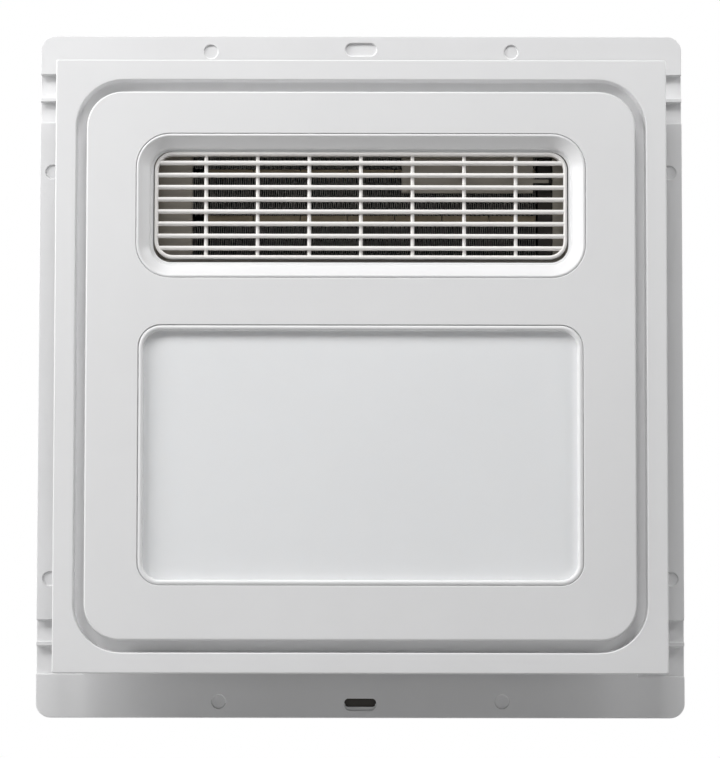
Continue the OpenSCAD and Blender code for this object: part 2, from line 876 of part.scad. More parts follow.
// Duct from the chamber to the grille, with a lip that covers the gap beside the heater.
module heater_duct() {
  color([0.52, 0.50, 0.48])
  union() {
    difference() {
      union() {
        translate([0, 0, grille_z]) along_y(grille_back, chamber_y)
          square([duct_out_w, duct_out_h], center = true);
        translate([0, 0, grille_z]) along_y(chamber_y - duct_flange_t, chamber_y)
          square([duct_out_w + 2 * duct_flange_side, duct_out_h + 2 * duct_flange_end], center = true);
      }
      translate([0, 0, grille_z]) along_y(grille_back - 1, chamber_y + 1)
        square([duct_in_w, duct_in_h], center = true);
      rod_z(cutout_x, heater_back + cutout_back, cutout_plug_r + 0.4, grille_z, grille_z + duct_out_h);
    }
    translate([0, 0, grille_z])
      block(cap_x + tight, duct_in_w / 2 + 1, bracket_face, heater_y, -duct_in_h / 2 - 1,
          duct_in_h / 2 + 1);
  }
}

// Guard in front of the heater, flat blades with upright ribs behind them.
module outlet_grille() {
  color([0.92, 0.91, 0.90])
  translate([0, 0, grille_z]) {
    along_y(grille_front, grille_back) difference() {
      rounded(grille_w, grille_h, grille_r);
      rounded(grille_w - 2 * grille_rim, grille_h - 2 * grille_rim, grille_r - grille_rim);
    }
    intersection() {
      along_y(grille_front, grille_back)
        rounded(grille_w - grille_rim, grille_h - grille_rim, grille_r - grille_rim / 2);
      union() {
        for (i = [0 : blade_count - 1]) {
          z = (i - (blade_count - 1) / 2) * blade_pitch;
          block(-grille_w / 2, grille_w / 2, grille_front + 0.5, grille_back - 1, z - blade_t / 2,
              z + blade_t / 2);
        }
        for (i = [0 : rib_count - 1]) {
          x = (i - (rib_count - 1) / 2) * rib_pitch;
          block(x - rib_t / 2, x + rib_t / 2, grille_front + rib_back, grille_back, -grille_h / 2,
              grille_h / 2);
        }
      }
    }
  }
}

// Height of one fin layer, the top one lower than the rest.
function layer_h(i) = i == 0 ? top_layer : fin_layer;

// Height of the middle of each fin layer.
function layer_z(i) =
  i == 0 ? upper_strip + element_t / 2 + top_layer / 2
  : i < 4 ? upper_strip - element_t / 2 - (i - 0.5) * fin_layer
  : lower_strip - element_t / 2 - (i - 3.5) * fin_layer;

// Folded foil between two flat levels.
module fin_strip(height) {
  n = floor(heater_w / fin_pitch);
  step = heater_w / n / 2;
  low = tight - height / 2;
  high = height / 2 - tight;
  rise = fin_t * 2.2;
  x0 = heater_left;
  under = [for (i = [0 : 2 * n]) [x0 + i * step, i % 2 == 0 ? low : high - rise]];
  over = [for (i = [2 * n : -1 : 0]) [x0 + i * step, i % 2 == 0 ? low + rise : high]];
  polygon(concat(under, over));
}

module ptc_fins() {
  color([0.10, 0.10, 0.10])
  for (i = [0 : 6]) {
    translate([0, 0, layer_z(i)]) along_y(heater_y, heater_back) fin_strip(layer_h(i));
  }
}

module ptc_elements() {
  start = heater_left + element_inset;
  tile = (heater_right - 1 - start) / tile_count;
  color([0.66, 0.58, 0.46])
  for (z = [upper_strip, lower_strip], i = [0 : tile_count - 1]) {
    x = start + i * tile;
    block(x + 0.3, x + tile - 0.3, heater_y + 1, heater_back - 1, z - element_t / 2 + tight,
        z + element_t / 2 - tight);
  }
}

// Sheet plate that holds the left end of the heater to the duct.
module heater_left_bracket() {
  wall = duct_in_w / 2;
  color([0.50, 0.48, 0.46])
  translate([0, 0, grille_z]) {
    block(-wall, heater_left - tight, bracket_face, heater_y, -duct_in_h / 2, duct_in_h / 2);
    block(heater_left - bracket_sheet, heater_left - tight, heater_y - eps, heater_back,
        -duct_in_h / 2, duct_in_h / 2);
  }
}

// Dark cap at the right end of the heater, set back above a step, with a ledge for the shield.
module heater_right_bracket() {
  low = grille_z - duct_in_h / 2;
  top = grille_z + duct_in_h / 2;
  color([0.16, 0.16, 0.17])
  union() {
    block(heater_right + tight, cap_x, bracket_face, heater_back, low, cap_step_z);
    block(heater_right + tight, cap_x, bracket_face + cap_step, heater_back, cap_step_z - eps, top);
    block(heater_right + tight, cap_x, bracket_face, bracket_face + cap_step + eps,
        ledge_z - ledge_h / 2, ledge_z + ledge_h / 2);
    block(cap_x - eps, duct_in_w / 2, heater_back - cap_foot, heater_back, low, top);
  }
}

// Supply tabs that stand half way into the gap beside the cap.
module heater_tabs() {
  x1 = (cap_x + duct_in_w / 2) / 2;
  y = heater_y + tab_back;
  color([0.78, 0.66, 0.36])
  for (z = [-tab_pitch, 0, tab_pitch]) {
    block(cap_x, x1, y, y + tab_t, grille_z + z - tab_w / 2, grille_z + z + tab_w / 2);
  }
}

// Flat plate in front of the upper right fins, hemmed at the left and hooked on the ledge.
module heater_shield() {
  top = grille_z + duct_in_h / 2;
  end = heater_right - shield_end;
  front = bracket_face - bracket_sheet;
  color([0.44, 0.42, 0.40])
  union() {
    block(shield_x, end, front, bracket_face, cap_step_z, top);
    block(shield_x, shield_x + shield_hem, front - bracket_sheet, front + eps, cap_step_z, top);
    block(end - 1, end + shield_hook, front, bracket_face, ledge_z - ledge_h / 2,
        ledge_z + ledge_h / 2);
  }
}

// Disc thermostat on top of the heater duct.
module thermal_cutout() {
  top = grille_z + duct_out_h / 2;
  y = heater_back + cutout_back;
  mid = top + cutout_h / 2;
  color([0.70, 0.68, 0.62])
  union() {
    rod_z(cutout_x, y, cutout_plug_r, top - cutout_plug, top + eps);
    rod_z(cutout_x, y, cutout_r, top, top + cutout_h);
    block(cutout_x - cutout_tab, cutout_x + cutout_tab, y - cutout_tab_w / 2, y + cutout_tab_w / 2,
        mid, mid + cutout_tab_t);
  }
}

// Damper drive, a small geared motor on the chamber side.
module damper_motor() {
  x = chamber_w / 2 + bush_len - sheet;
  z = damper_z - drive_drop;
  color([0.74, 0.75, 0.76])
  difference() {
    union() {
      rod_x(damper_y, z, drive_r, x, x + drive_len);
      along_x(x, x + ear_t) translate([damper_y, z])
        rounded(2 * ear_y + 2 * ear_r, 2 * ear_r, ear_r - 0.1);
      for (s = [-ear_y, ear_y]) {
        rod_x(damper_y + s, z, ear_r - 0.1, chamber_w / 2, x + eps);
      }
    }
    rod_x(damper_y, damper_z, damper_shaft_r + loose_gap, x - 1, x + drive_bore);
    for (s = [-ear_y, ear_y]) {
      rod_x(damper_y + s, z, screw_r + screw_gap, x - 2 * bush_len, x + 2 * ear_t);
    }
  }
}

module damper_motor_screws() {
  x = chamber_w / 2 + bush_len - sheet + ear_t;
  color([0.75, 0.75, 0.76])
  for (s = [-ear_y, ear_y]) {
    translate([x, damper_y + s, damper_z - drive_drop]) rotate([0, 0, 90])
      screw_y(0, 0, 0, sheet_screw_len, screw_r);
  }
}

module damper_bushes() {
  wall = chamber_w / 2;
  color([0.90, 0.90, 0.88])
  for (x = [-1, 1]) {
    difference() {
      union() {
        rod_x(damper_y, damper_z, bush_r, x > 0 ? wall - sheet : -wall - 1,
            x > 0 ? wall + 1 : -wall + sheet);
        rod_x(damper_y, damper_z, bush_r + bush_rim, x > 0 ? wall : -wall - bush_rim_t,
            x > 0 ? wall + bush_rim_t : -wall);
      }
      rod_x(damper_y, damper_z, damper_shaft_r + loose_gap, -wall - 2 * bush_rim_t,
          wall + 2 * bush_rim_t);
    }
  }
}

// Plate that closes either the exhaust opening or the heater opening.
module switch_damper() {
  color([0.56, 0.58, 0.60])
  difference() {
    union() {
      block(-damper_w / 2, damper_w / 2, damper_y, damper_y + damper_len, damper_z - damper_t / 2,
          damper_z + damper_t / 2);
      rod_x(damper_y, damper_z, damper_shaft_r + damper_barrel, -damper_w / 2, damper_w / 2);
    }
    rod_x(damper_y, damper_z, damper_shaft_r + tight, -damper_w, damper_w);
  }
}

module damper_seals() {
  face = damper_t / 2;
  half = damper_w / 2 - seal_inset;
  start = damper_y + damper_shaft_r + 2 * seal_inset;
  color([0.20, 0.20, 0.21])
  for (z = [damper_z + face, damper_z - face - seal_t]) {
    block(-half, half, start, damper_y + damper_len - seal_inset, z, z + seal_t);
  }
}

module damper_shaft() {
  color([0.70, 0.71, 0.72])
  rod_x(damper_y, damper_z, damper_shaft_r, -chamber_w / 2 - shaft_stub,
      chamber_w / 2 + bush_len + 2 * shaft_stub);
}

// Radius of the scroll at an angle from the outlet side.
function scroll_at(a) = scroll_r + scroll_growth * a / 360;

module scroll_inside() {
  spiral = [for (a = [tongue_a : 8 : 360]) scroll_at(a) * [cos(a), sin(a)]];
  polygon(concat(spiral, [[scroll_max, scroll_rise + 1], [tongue_x, scroll_rise + 1]]));
}

module scroll_outside() {
  w = scroll_wall;
  spiral = [for (a = [tongue_a + 8 : 8 : 360]) (scroll_at(a) + w) * [cos(a), sin(a)]];
  polygon(concat(spiral, [[scroll_max + w, scroll_rise], [tongue_x - w, scroll_rise]]));
}

// Spiral casing of the fan, open at the front and at its outlet.
module fan_scroll() {
  color([0.24, 0.25, 0.26])
  translate([fan_x, 0, fan_z])
  difference() {
    union() {
      along_y(scroll_y + scroll_wall, scroll_back) scroll_outside();
      scroll_screw_places() rod_y(0, 0, lug_r, scroll_y + scroll_wall, scroll_y + lug_h);
    }
    along_y(scroll_y, scroll_back - scroll_wall) scroll_inside();
    rod_y(0, 0, motor_hole_r, scroll_back - 2 * scroll_wall, scroll_back + 1);
    motor_screw_places()
      rod_y(0, 0, screw_r + screw_gap, scroll_back - 2 * scroll_wall, scroll_back + 1);
    scroll_screw_places() rod_y(0, 0, screw_r + screw_gap, scroll_y, scroll_y + lug_h + 1);
  }
}

// Inlet plate of the fan with its bell mouth.
module scroll_cover() {
  color([0.24, 0.25, 0.26])
  translate([fan_x, 0, fan_z])
  difference() {
    union() {
      along_y(scroll_y, scroll_y + scroll_wall) scroll_outside();
      scroll_screw_places() rod_y(0, 0, lug_r, scroll_y, scroll_y + scroll_wall);
      translate([0, scroll_y, 0]) rotate([-90, 0, 0]) rotate_extrude() translate([inlet_r, 0])
        polygon([[0, bell_h], [bell_t, bell_h], [1.5 * bell_t, bell_t / 2], [bell_w, -bell_t / 2],
          [bell_w, -1.5 * bell_t], [1.5 * bell_t, -1.25 * bell_t], [bell_t / 2, 0]]);
    }
    rod_y(0, 0, inlet_r, scroll_y - bell_w, scroll_y + bell_w);
    scroll_screw_places() rod_y(0, 0, screw_r + screw_gap, scroll_y - 1, scroll_y + 5);
  }
}

module scroll_screws() {
  color([0.75, 0.75, 0.76])
  translate([fan_x, 0, fan_z])
  scroll_screw_places() screw_y(0, 0, scroll_y, scroll_screw_len, screw_r);
}

module motor_screw_places() {
  r = motor_r - motor_screw_inset;
  for (a = [30, 150, 270]) {
    translate([r * cos(a), 0, r * sin(a)]) children();
  }
}

module scroll_screw_places() {
  for (a = [70, 160, 250, 330]) {
    r = scroll_at(a) + scroll_wall + lug_out;
    translate([r * cos(a), 0, r * sin(a)]) children();
  }
}

module fan_motor() {
  groove = motor_front + motor_groove_y;
  color([0.58, 0.60, 0.62])
  translate([fan_x, 0, fan_z])
  difference() {
    union() {
      rod_y(0, 0, motor_r, motor_front, motor_back);
      rod_y(0, 0, motor_boss_r, motor_front - motor_boss_h, motor_front + eps);
    }
    rod_y(0, 0, shaft_r + loose_gap, motor_front - motor_boss_h - 3, shaft_end + 1);
    motor_screw_places()
      rod_y(0, 0, screw_r + screw_gap, motor_front - 1, motor_front + motor_screw_len);
    difference() {
      rod_y(0, 0, motor_r + 1, groove, groove + motor_groove_w);
      rod_y(0, 0, motor_r - motor_groove_depth, groove - 1, groove + motor_groove_w + 1);
    }
  }
}

// Rubber washers between the motor and the scroll.
module motor_grommets() {
  color([0.12, 0.12, 0.12])
  translate([fan_x, 0, fan_z])
  motor_screw_places() difference() {
    rod_y(0, 0, grommet_r, scroll_back, motor_front);
    rod_y(0, 0, screw_r + screw_gap, scroll_back - 1, motor_front + 1);
  }
}

module motor_screws() {
  color([0.75, 0.75, 0.76])
  translate([fan_x, 0, fan_z])
  motor_screw_places() screw_y(0, 0, scroll_back - scroll_wall, motor_screw_len, screw_r);
}

// Stand-offs between the motor and the back of the housing.
module motor_standoffs() {
  r = motor_r - standoff_inset;
  color([0.62, 0.64, 0.65])
  translate([fan_x, 0, fan_z])
  for (a = [90, 210, 330]) {
    rod_y(r * cos(a), r * sin(a), standoff_r, motor_back, housing_d - sheet);
  }
}

module motor_shaft() {
  color([0.72, 0.73, 0.74])
  rod_y(fan_x, fan_z, shaft_r, wheel_back - hub_h - shaft_tip, shaft_end);
}

module wheel_nut() {
  front = wheel_back - hub_h - nut_h;
  color([0.70, 0.71, 0.72])
  difference() {
    rod_y(fan_x, fan_z, shaft_r + nut_wall, front, front + nut_h);
    rod_y(fan_x, fan_z, shaft_r + tight, front - 1, front + nut_h + 1);
  }
}

// Fan wheel with forward curved blades.
module fan_wheel() {
  depth = wheel_blade_depth;
  color([0.85, 0.86, 0.87])
  translate([fan_x, 0, fan_z])
  difference() {
    union() {
      along_y(wheel_back - wheel_plate, wheel_back) circle(wheel_r);
      along_y(wheel_back - hub_h, wheel_back) circle(hub_r);
      along_y(wheel_front, wheel_front + wheel_ring_h) difference() {
        circle(wheel_r);
        circle(wheel_r - wheel_ring_w);
      }
      along_y(wheel_front + eps, wheel_back - 1) {
        for (i = [0 : wheel_blades - 1]) {
          rotate(i * 360 / wheel_blades) wheel_blade(depth);
        }
      }
    }
    rod_y(0, 0, shaft_r + tight, wheel_front - 1, wheel_back + 1);
  }
}

// Flat outline of one wheel blade.
module wheel_blade(depth) {
  r = wheel_r - 0.4;
  polygon([[r - depth, -1.6], [r - depth * 0.5, -0.9], [r - depth * 0.2, 0.8], [r, 3.2],
    [r - 0.9, 4.2], [r - depth * 0.28, 1.9], [r - depth * 0.55, 0.2], [r - depth, -0.6]]);
}

// Metal tray that carries the light board.
module light_tray() {
  color([0.90, 0.90, 0.90])
  translate([0, 0, lens_z])
  difference() {
    along_y(tray_front, tray_back) rounded(tray_w, tray_h, tray_corner);
    along_y(tray_front - 1, tray_back - tray_sheet)
      rounded(tray_w - 2 * tray_sheet, tray_h - 2 * tray_sheet, tray_corner - tray_sheet);
    light_screw_places() rod_y(0, 0, screw_r + screw_gap, tray_back - 5, tray_back + 5);
  }
}

// Two straps across the opening that carry the tray and the driver.
module light_straps() {
  color([0.64, 0.66, 0.67])
  translate([0, 0, lens_z])
  difference() {
    for (z = [-strap_z, strap_z]) {
      block(-half_w, half_w, tray_back, flange_face, z - strap_w / 2, z + strap_w / 2);
    }
    light_screw_places() rod_y(0, 0, screw_r + screw_gap, tray_back - 5, tray_back + 5);
    strap_screw_places() rod_y(0, 0, screw_r + screw_gap, tray_back - 5, tray_back + 5);
  }
}

module light_screw_places() {
  for (x = [-light_screw_x, light_screw_x], z = [-strap_z, strap_z]) {
    translate([x, 0, z]) children();
  }
}

module strap_screw_places() {
  for (x = [-1, 1], z = [-strap_z, strap_z]) {
    translate([x * (opening_w / 2 + strap_screw_out), 0, z]) children();
  }
}

module light_board() {
  color([0.93, 0.93, 0.92])
  translate([0, 0, lens_z])
  difference() {
    along_y(tray_back - tray_sheet - board_t, tray_back - tray_sheet)
      rounded(board_w, board_h, board_corner);
    light_screw_places() rod_y(0, 0, screw_r + screw_gap, tray_front, tray_back + 5);
  }
}

module light_chips() {
  y = tray_back - tray_sheet - board_t;
  dx = board_w / chip_cols;
  dz = board_h / chip_rows;
  color([0.95, 0.88, 0.55])
  for (i = [0 : chip_cols - 1], j = [0 : chip_rows - 1]) {
    x = (i - (chip_cols - 1) / 2) * dx;
    z = lens_z + (j - (chip_rows - 1) / 2) * dz;
    block(x - chip_size / 2, x + chip_size / 2, y - chip_t, y, z - chip_size / 2, z + chip_size / 2);
  }
}

module light_screws() {
  y = tray_back - tray_sheet - board_t;
  color([0.75, 0.75, 0.76])
  translate([0, 0, lens_z])
  light_screw_places() screw_y(0, 0, y, sheet_screw_len, screw_r);
}

module light_driver() {
  z = lens_z - strap_z;
  y = flange_face + driver_mouth_y;
  color([0.86, 0.86, 0.85])
  difference() {
    block(driver_x0, driver_x1, flange_face, flange_face + driver_d, z - driver_h / 2,
        z + driver_h / 2);
    for (x = [driver_x0, driver_x1]) {
      block(x - driver_mouth, x + driver_mouth, y, y + driver_mouth_d, z - driver_mouth_h / 2,
          z + driver_mouth_h / 2);
    }
  }
}

// Plastic box with the control electronics, inside the housing.
module control_box() {
  x0 = control_x;
  y1 = control_y + control_d;
  color([0.90, 0.90, 0.88])
  difference() {
    union() {
      block(x0, x0 + control_w, control_y, y1, control_z, control_z + control_h);
      for (z = [control_foot_inset, control_h - control_foot_inset - control_foot_h]) {
        block(-half_w + sheet, x0 + eps, control_y, y1, control_z + z, control_z + z + control_foot_h);
      }
    }
    block(x0 + box_wall, x0 + control_w - box_wall, control_y - 1, y1 - box_wall,
        control_z + box_wall, control_z + control_h - box_wall);
    block(x0 + control_w - 2 * box_wall, x0 + control_w + 1, control_y + control_d / 2 - 4,
        control_y + control_d / 2 + 6, control_z + control_h / 3, control_z + control_h / 2);
  }
}

module control_lid() {
  x0 = control_x;
  color([0.88, 0.88, 0.86])
  block(x0, x0 + control_w, control_y - box_wall, control_y, control_z, control_z + control_h);
}

module control_board() {
  x0 = control_x + box_wall;
  x1 = control_x + control_w - box_wall;
  wide = x1 - x0;
  y = control_y + control_d - box_wall - board_stand;
  face = y - board_t;
  color([0.14, 0.36, 0.20])
  union() {
    block(x0 + board_gap, x1 - board_gap, face, y, control_z + board_end,
        control_z + control_h - board_end);
    block(x0 + 0.12 * wide, x0 + 0.5 * wide, face - control_d / 3, face + eps,
        control_z + 0.12 * control_h, control_z + 0.28 * control_h);
    block(x0 + 0.16 * wide, x0 + 0.6 * wide, face - control_d / 4, face + eps,
        control_z + 0.47 * control_h, control_z + 0.6 * control_h);
    rod_y(x0 + 0.72 * wide, control_z + 0.7 * control_h, 0.1 * wide, face - control_d / 3, face + eps);
    for (z = [2 * board_end, control_h - 2 * board_end]) {
      rod_y(x0 + board_end, control_z + z, board_peg_r, y - eps, control_y + control_d - box_wall);
    }
  }
}

// Box on the outside of the housing where the supply is joined.
module terminal_box() {
  y1 = terminal_y + terminal_w;
  z1 = terminal_z + terminal_h;
  color([0.66, 0.68, 0.69])
  difference() {
    block(terminal_x, -half_w, terminal_y, y1, terminal_z, z1);
    block(terminal_x - 1, -half_w - sheet, terminal_y + sheet, y1 - sheet, terminal_z + sheet,
        z1 - sheet);
    rod_x(gland_y, terminal_z + terminal_h / 2 + wire_hole_rise, wire_hole_r, -half_w - 5, -half_w + 5);
    rod_z(gland_x, gland_y, gland_r - gland_neck + tight, terminal_z - 5, terminal_z + 5);
    terminal_screw_places() rotate([0, 90, 0]) screw_hole();
  }
}

module terminal_lid() {
  y1 = terminal_y + terminal_w;
  z1 = terminal_z + terminal_h;
  color([0.66, 0.68, 0.69])
  difference() {
    block(terminal_x - sheet, terminal_x, terminal_y, y1, terminal_z, z1);
    block(terminal_x - sheet - 1, terminal_x + 1, gland_y - lid_notch, gland_y + lid_notch,
        z1 - lid_notch_h, z1 + 1);
  }
}

module terminal_screws() {
  color([0.75, 0.75, 0.76])
  terminal_screw_places() translate([-sheet, 0, 0]) rotate([0, 0, -90])
    screw_y(0, 0, 0, sheet_screw_len - 1, screw_r);
}

// Screw terminals on their plastic block.
module terminal_block() {
  x = -half_w - sheet;
  y = gland_y - block_shift;
  color([0.93, 0.92, 0.88])
  difference() {
    block(x - block_d, x, y, y + block_w, terminal_z + block_rise, terminal_z + block_rise + block_h);
    for (i = [0.5 : 2.5]) {
      rod_x(y + block_hole_y, terminal_z + block_rise + i * block_pitch, block_hole_r,
          x - block_d - 1, x - 0.6 * block_d);
    }
  }
}

module cable_gland() {
  hex_z = terminal_z - gland_hex_h;
  color([0.16, 0.16, 0.17])
  difference() {
    union() {
      rod_z(gland_x, gland_y, gland_r - gland_neck, terminal_z - 1, terminal_z + gland_thread);
      rod_z(gland_x, gland_y, gland_r + gland_hex, hex_z, terminal_z);
      rod_z(gland_x, gland_y, gland_r + gland_cap, hex_z - gland_cap_h, hex_z + eps);
    }
    rod_z(gland_x, gland_y, gland_bore, hex_z - gland_cap_h - 1, terminal_z + gland_thread + 1);
  }
}

module gland_nut() {
  color([0.16, 0.16, 0.17])
  difference() {
    translate([gland_x, gland_y, terminal_z + sheet])
      cylinder(r = gland_r + nut_rim, h = nut_plate, $fn = 6);
    rod_z(gland_x, gland_y, gland_r - gland_neck + tight, terminal_z - 1, terminal_z + gland_thread);
  }
}

// One moulding: border, groove, raised middle, skirt and windows.
module front_panel() {
  wall = panel_wall;
  color([0.90, 0.90, 0.90])
  translate([0, 0, panel_rise])
  difference() {
    union() {
      along_y(border_y, panel_back) square([panel_w, panel_h], center = true);
      along_y(face_y, panel_back) rounded(plateau_w, plateau_h, plateau_r);
    }
    along_y(border_y - 1, border_y + groove_depth) difference() {
      rounded(groove_w, groove_h, groove_r);
      rounded(plateau_w, plateau_h, plateau_r);
    }
    along_y(face_y + wall, panel_back + 1)
      rounded(plateau_w - 2 * wall, plateau_h - 2 * wall, plateau_r - wall);
    along_y(border_y + groove_depth + wall, panel_back + 1)
      rounded(groove_w + 2 * wall, groove_h + 2 * wall, groove_r + wall);
    along_y(border_y + wall, panel_back + 1) difference() {
      square([panel_w - 2 * wall, panel_h - 2 * wall], center = true);
      rounded(groove_w + 2 * wall - eps, groove_h + 2 * wall - eps, groove_r + wall);
    }
    translate([0, 0, bezel_rise]) along_y(face_y - 1, panel_back + 1)
      rounded(bezel_w + 2 * window_gap, bezel_h + 2 * window_gap, bezel_r + window_gap);
    translate([0, 0, -lens_drop]) along_y(face_y - 1, panel_back + 1)
      rounded(lens_frame_w + 2 * window_gap, lens_frame_h + 2 * window_gap,
          lens_frame_r + window_gap);
    block(notch_x - notch_w / 2, notch_x + notch_w / 2, panel_back - 4, panel_back + 1,
        -panel_h / 2 - 1, -panel_h / 2 + wall + 1);
  }
}

// Four posts on the back of the panel, each with a foot plate.
module panel_posts() {
  foot = border_y + groove_depth + panel_wall;
  color([0.90, 0.90, 0.90])
  at_posts() {
    rod_y(0, 0, post_r, foot, post_tip);
    rod_y(0, 0, post_r + post_foot_rim, foot, foot + post_foot_t);
  }
}

// Funnel round the grille; its lip lies behind the panel.
module outlet_bezel() {
  lip_y = face_y + panel_wall;
  w = bezel_w - 2 * bezel_bead;
  h = bezel_h - 2 * bezel_bead;
  r = bezel_r - bezel_bead;
  tr = grille_r + 2;
  color([0.92, 0.92, 0.92])
  translate([0, 0, bezel_z])
  difference() {
    union() {
      along_y(face_y, lip_y + lip_t) rounded(bezel_w, bezel_h, bezel_r);
      along_y(lip_y, lip_y + lip_t)
        rounded(bezel_w + 2 * lip_w, bezel_h + 2 * lip_w, bezel_r + lip_w);
      hull() {
        along_y(lip_y, lip_y + lip_t)
          rounded(w + 2 * funnel_wall - 2, h + 2 * funnel_wall - 2, r + funnel_wall - 1, $fn = 32);
        along_y(throat_y - 0.5, throat_y)
          rounded(throat_w + 2 * funnel_wall, throat_h + 2 * funnel_wall, tr + funnel_wall, $fn = 32);
      }
    }
    hull() {
      along_y(face_y - 0.5, face_y + 0.3) rounded(w, h, r, $fn = 32);
      along_y(throat_y - 0.2, throat_y + 1) rounded(throat_w, throat_h, tr, $fn = 32);
    }
  }
}

// Flat ring round the light; its lip lies behind the panel.
module lens_frame() {
  lip_y = face_y + panel_wall;
  color([0.90, 0.90, 0.91])
  translate([0, 0, lens_z])
  difference() {
    union() {
      along_y(face_y, lens_y + lens_t) rounded(lens_frame_w, lens_frame_h, lens_frame_r);
      along_y(lip_y, lip_y + lip_t)
        rounded(lens_frame_w + 2 * lip_w, lens_frame_h + 2 * lip_w, lens_frame_r + lip_w);
    }
    along_y(face_y - 1, lens_y + 1) rounded(lens_w, lens_h, lens_frame_r - lens_rim);
    along_y(lens_y, lens_y + lens_t + 1)
      rounded(pane_w + 2 * tight, pane_h + 2 * tight, pane_r + tight);
  }
}

module light_lens() {
  color([0.86, 0.89, 0.93])
  translate([0, 0, lens_z])
  along_y(lens_y, lens_y + lens_t) rounded(pane_w, pane_h, pane_r);
}

module strap_screws() {
  color([0.75, 0.75, 0.76])
  translate([0, 0, lens_z])
  strap_screw_places() screw_y(0, 0, tray_back, strap_screw_len, screw_r);
}

base_flange();
slot_plug();
flange_screws();
housing_shell();
hanging_brackets();
bracket_screws();
duct_collar();
collar_screws();
flap_pin();
backdraft_flap();
outlet_chamber();
chamber_screws();
heater_duct();
outlet_grille();
ptc_fins();
ptc_elements();
heater_left_bracket();
heater_right_bracket();
heater_tabs();
heater_shield();
thermal_cutout();
damper_motor();
damper_motor_screws();
damper_bushes();
switch_damper();
damper_seals();
damper_shaft();
fan_scroll();
scroll_cover();
scroll_screws();
fan_motor();
motor_grommets();
motor_screws();
motor_standoffs();
motor_shaft();
fan_wheel();
wheel_nut();
light_tray();
light_straps();
strap_screws();
light_board();
light_chips();
light_screws();
light_driver();
control_box();
control_lid();
control_board();
terminal_box();
terminal_lid();
terminal_screws();
terminal_block();
cable_gland();
gland_nut();
front_panel();
panel_posts();
outlet_bezel();
lens_frame();
light_lens();
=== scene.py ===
import json
import math
import random

import bmesh
import bpy
from mathutils import Matrix, Vector


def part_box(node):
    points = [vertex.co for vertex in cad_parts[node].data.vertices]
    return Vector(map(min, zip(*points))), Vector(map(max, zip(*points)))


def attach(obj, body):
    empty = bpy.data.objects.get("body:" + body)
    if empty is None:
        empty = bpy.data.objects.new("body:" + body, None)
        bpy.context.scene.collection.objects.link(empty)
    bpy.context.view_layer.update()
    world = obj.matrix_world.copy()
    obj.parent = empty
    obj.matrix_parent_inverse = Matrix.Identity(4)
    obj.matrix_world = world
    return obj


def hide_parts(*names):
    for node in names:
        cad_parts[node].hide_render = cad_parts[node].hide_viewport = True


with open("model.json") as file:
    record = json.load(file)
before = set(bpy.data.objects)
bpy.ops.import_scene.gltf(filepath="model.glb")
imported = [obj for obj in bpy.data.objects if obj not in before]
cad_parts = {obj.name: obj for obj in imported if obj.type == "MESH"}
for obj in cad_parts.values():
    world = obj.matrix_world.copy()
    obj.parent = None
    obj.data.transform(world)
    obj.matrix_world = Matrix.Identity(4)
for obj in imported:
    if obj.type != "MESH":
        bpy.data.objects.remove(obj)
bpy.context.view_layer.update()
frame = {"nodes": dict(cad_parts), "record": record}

MM = 0.001
scene = bpy.context.scene
scene.view_settings.view_transform = "Standard"


# camera: in front of the face, a little low, and looking up by five degrees
FOCAL_PIXELS = 4240.3
PICTURE_WIDTH = 720.0
SENSOR = 36.0
CAMERA_PLACE = (-0.00124, -3.008, -0.269)
CAMERA_ROLL = 0.08
CAMERA_YAW = -0.015
CAMERA_PITCH = -5.067


def turn(axis, degrees):
    return Matrix.Rotation(math.radians(degrees), 3, axis)


def make_camera():
    data = bpy.data.cameras.new("camera")
    data.sensor_fit = "HORIZONTAL"
    data.sensor_width = SENSOR
    data.lens = FOCAL_PIXELS * SENSOR / PICTURE_WIDTH
    data.clip_start = 0.1
    data.clip_end = 60.0
    camera = bpy.data.objects.new("camera", data)
    scene.collection.objects.link(camera)
    row_to_view = Matrix(((1, 0, 0), (0, 0, -1), (0, 1, 0)))
    view = turn("Z", CAMERA_ROLL) @ turn("Y", CAMERA_YAW) @ turn("X", CAMERA_PITCH) @ row_to_view
    rows = [(view[0][i], -view[1][i], -view[2][i], CAMERA_PLACE[i]) for i in range(3)]
    camera.matrix_world = Matrix(rows + [(0, 0, 0, 1)])
    scene.camera = camera


make_camera()


# lamps: turn round the face from the left by way of the top, tilt from the face's normal, size
# and power. The two at the back light the housing behind the ceiling flange.
LAMP_REACH = 2.0
LAMPS = {
    "key_lamp": (20, 72, 0.6, 17.4),
    "upper_lamp": (45, 60, 0.6, 15.6),
    "top_lamp": (90, 55, 0.8, 15.9),
    "side_lamp": (150, 70, 0.6, 9.2),
    "back_left_lamp": (30, 118, 0.9, 17.0),
    "back_right_lamp": (150, 118, 0.9, 17.0),
}


def area_lamp(name, around, tilt, size, power):
    """A square lamp that looks at the origin."""
    a, t = math.radians(around), math.radians(tilt)
    way = Vector((-math.cos(a) * math.sin(t), -math.cos(t), math.sin(a) * math.sin(t)))
    data = bpy.data.lights.new(name, "AREA")
    data.shape = "SQUARE"
    data.size = size
    data.energy = power
    lamp = bpy.data.objects.new(name, data)
    scene.collection.objects.link(lamp)
    lamp.location = way * LAMP_REACH
    lamp.rotation_euler = (-way).to_track_quat("-Z", "Y").to_euler()


for name, values in LAMPS.items():
    area_lamp(name, *values)


# world: a weak fill on the object, and white where it is seen directly
FILL_COLOUR = (0.985, 0.99, 1.0, 1)
FILL_STRENGTH = 0.02
WHITE = (1, 1, 1, 1)


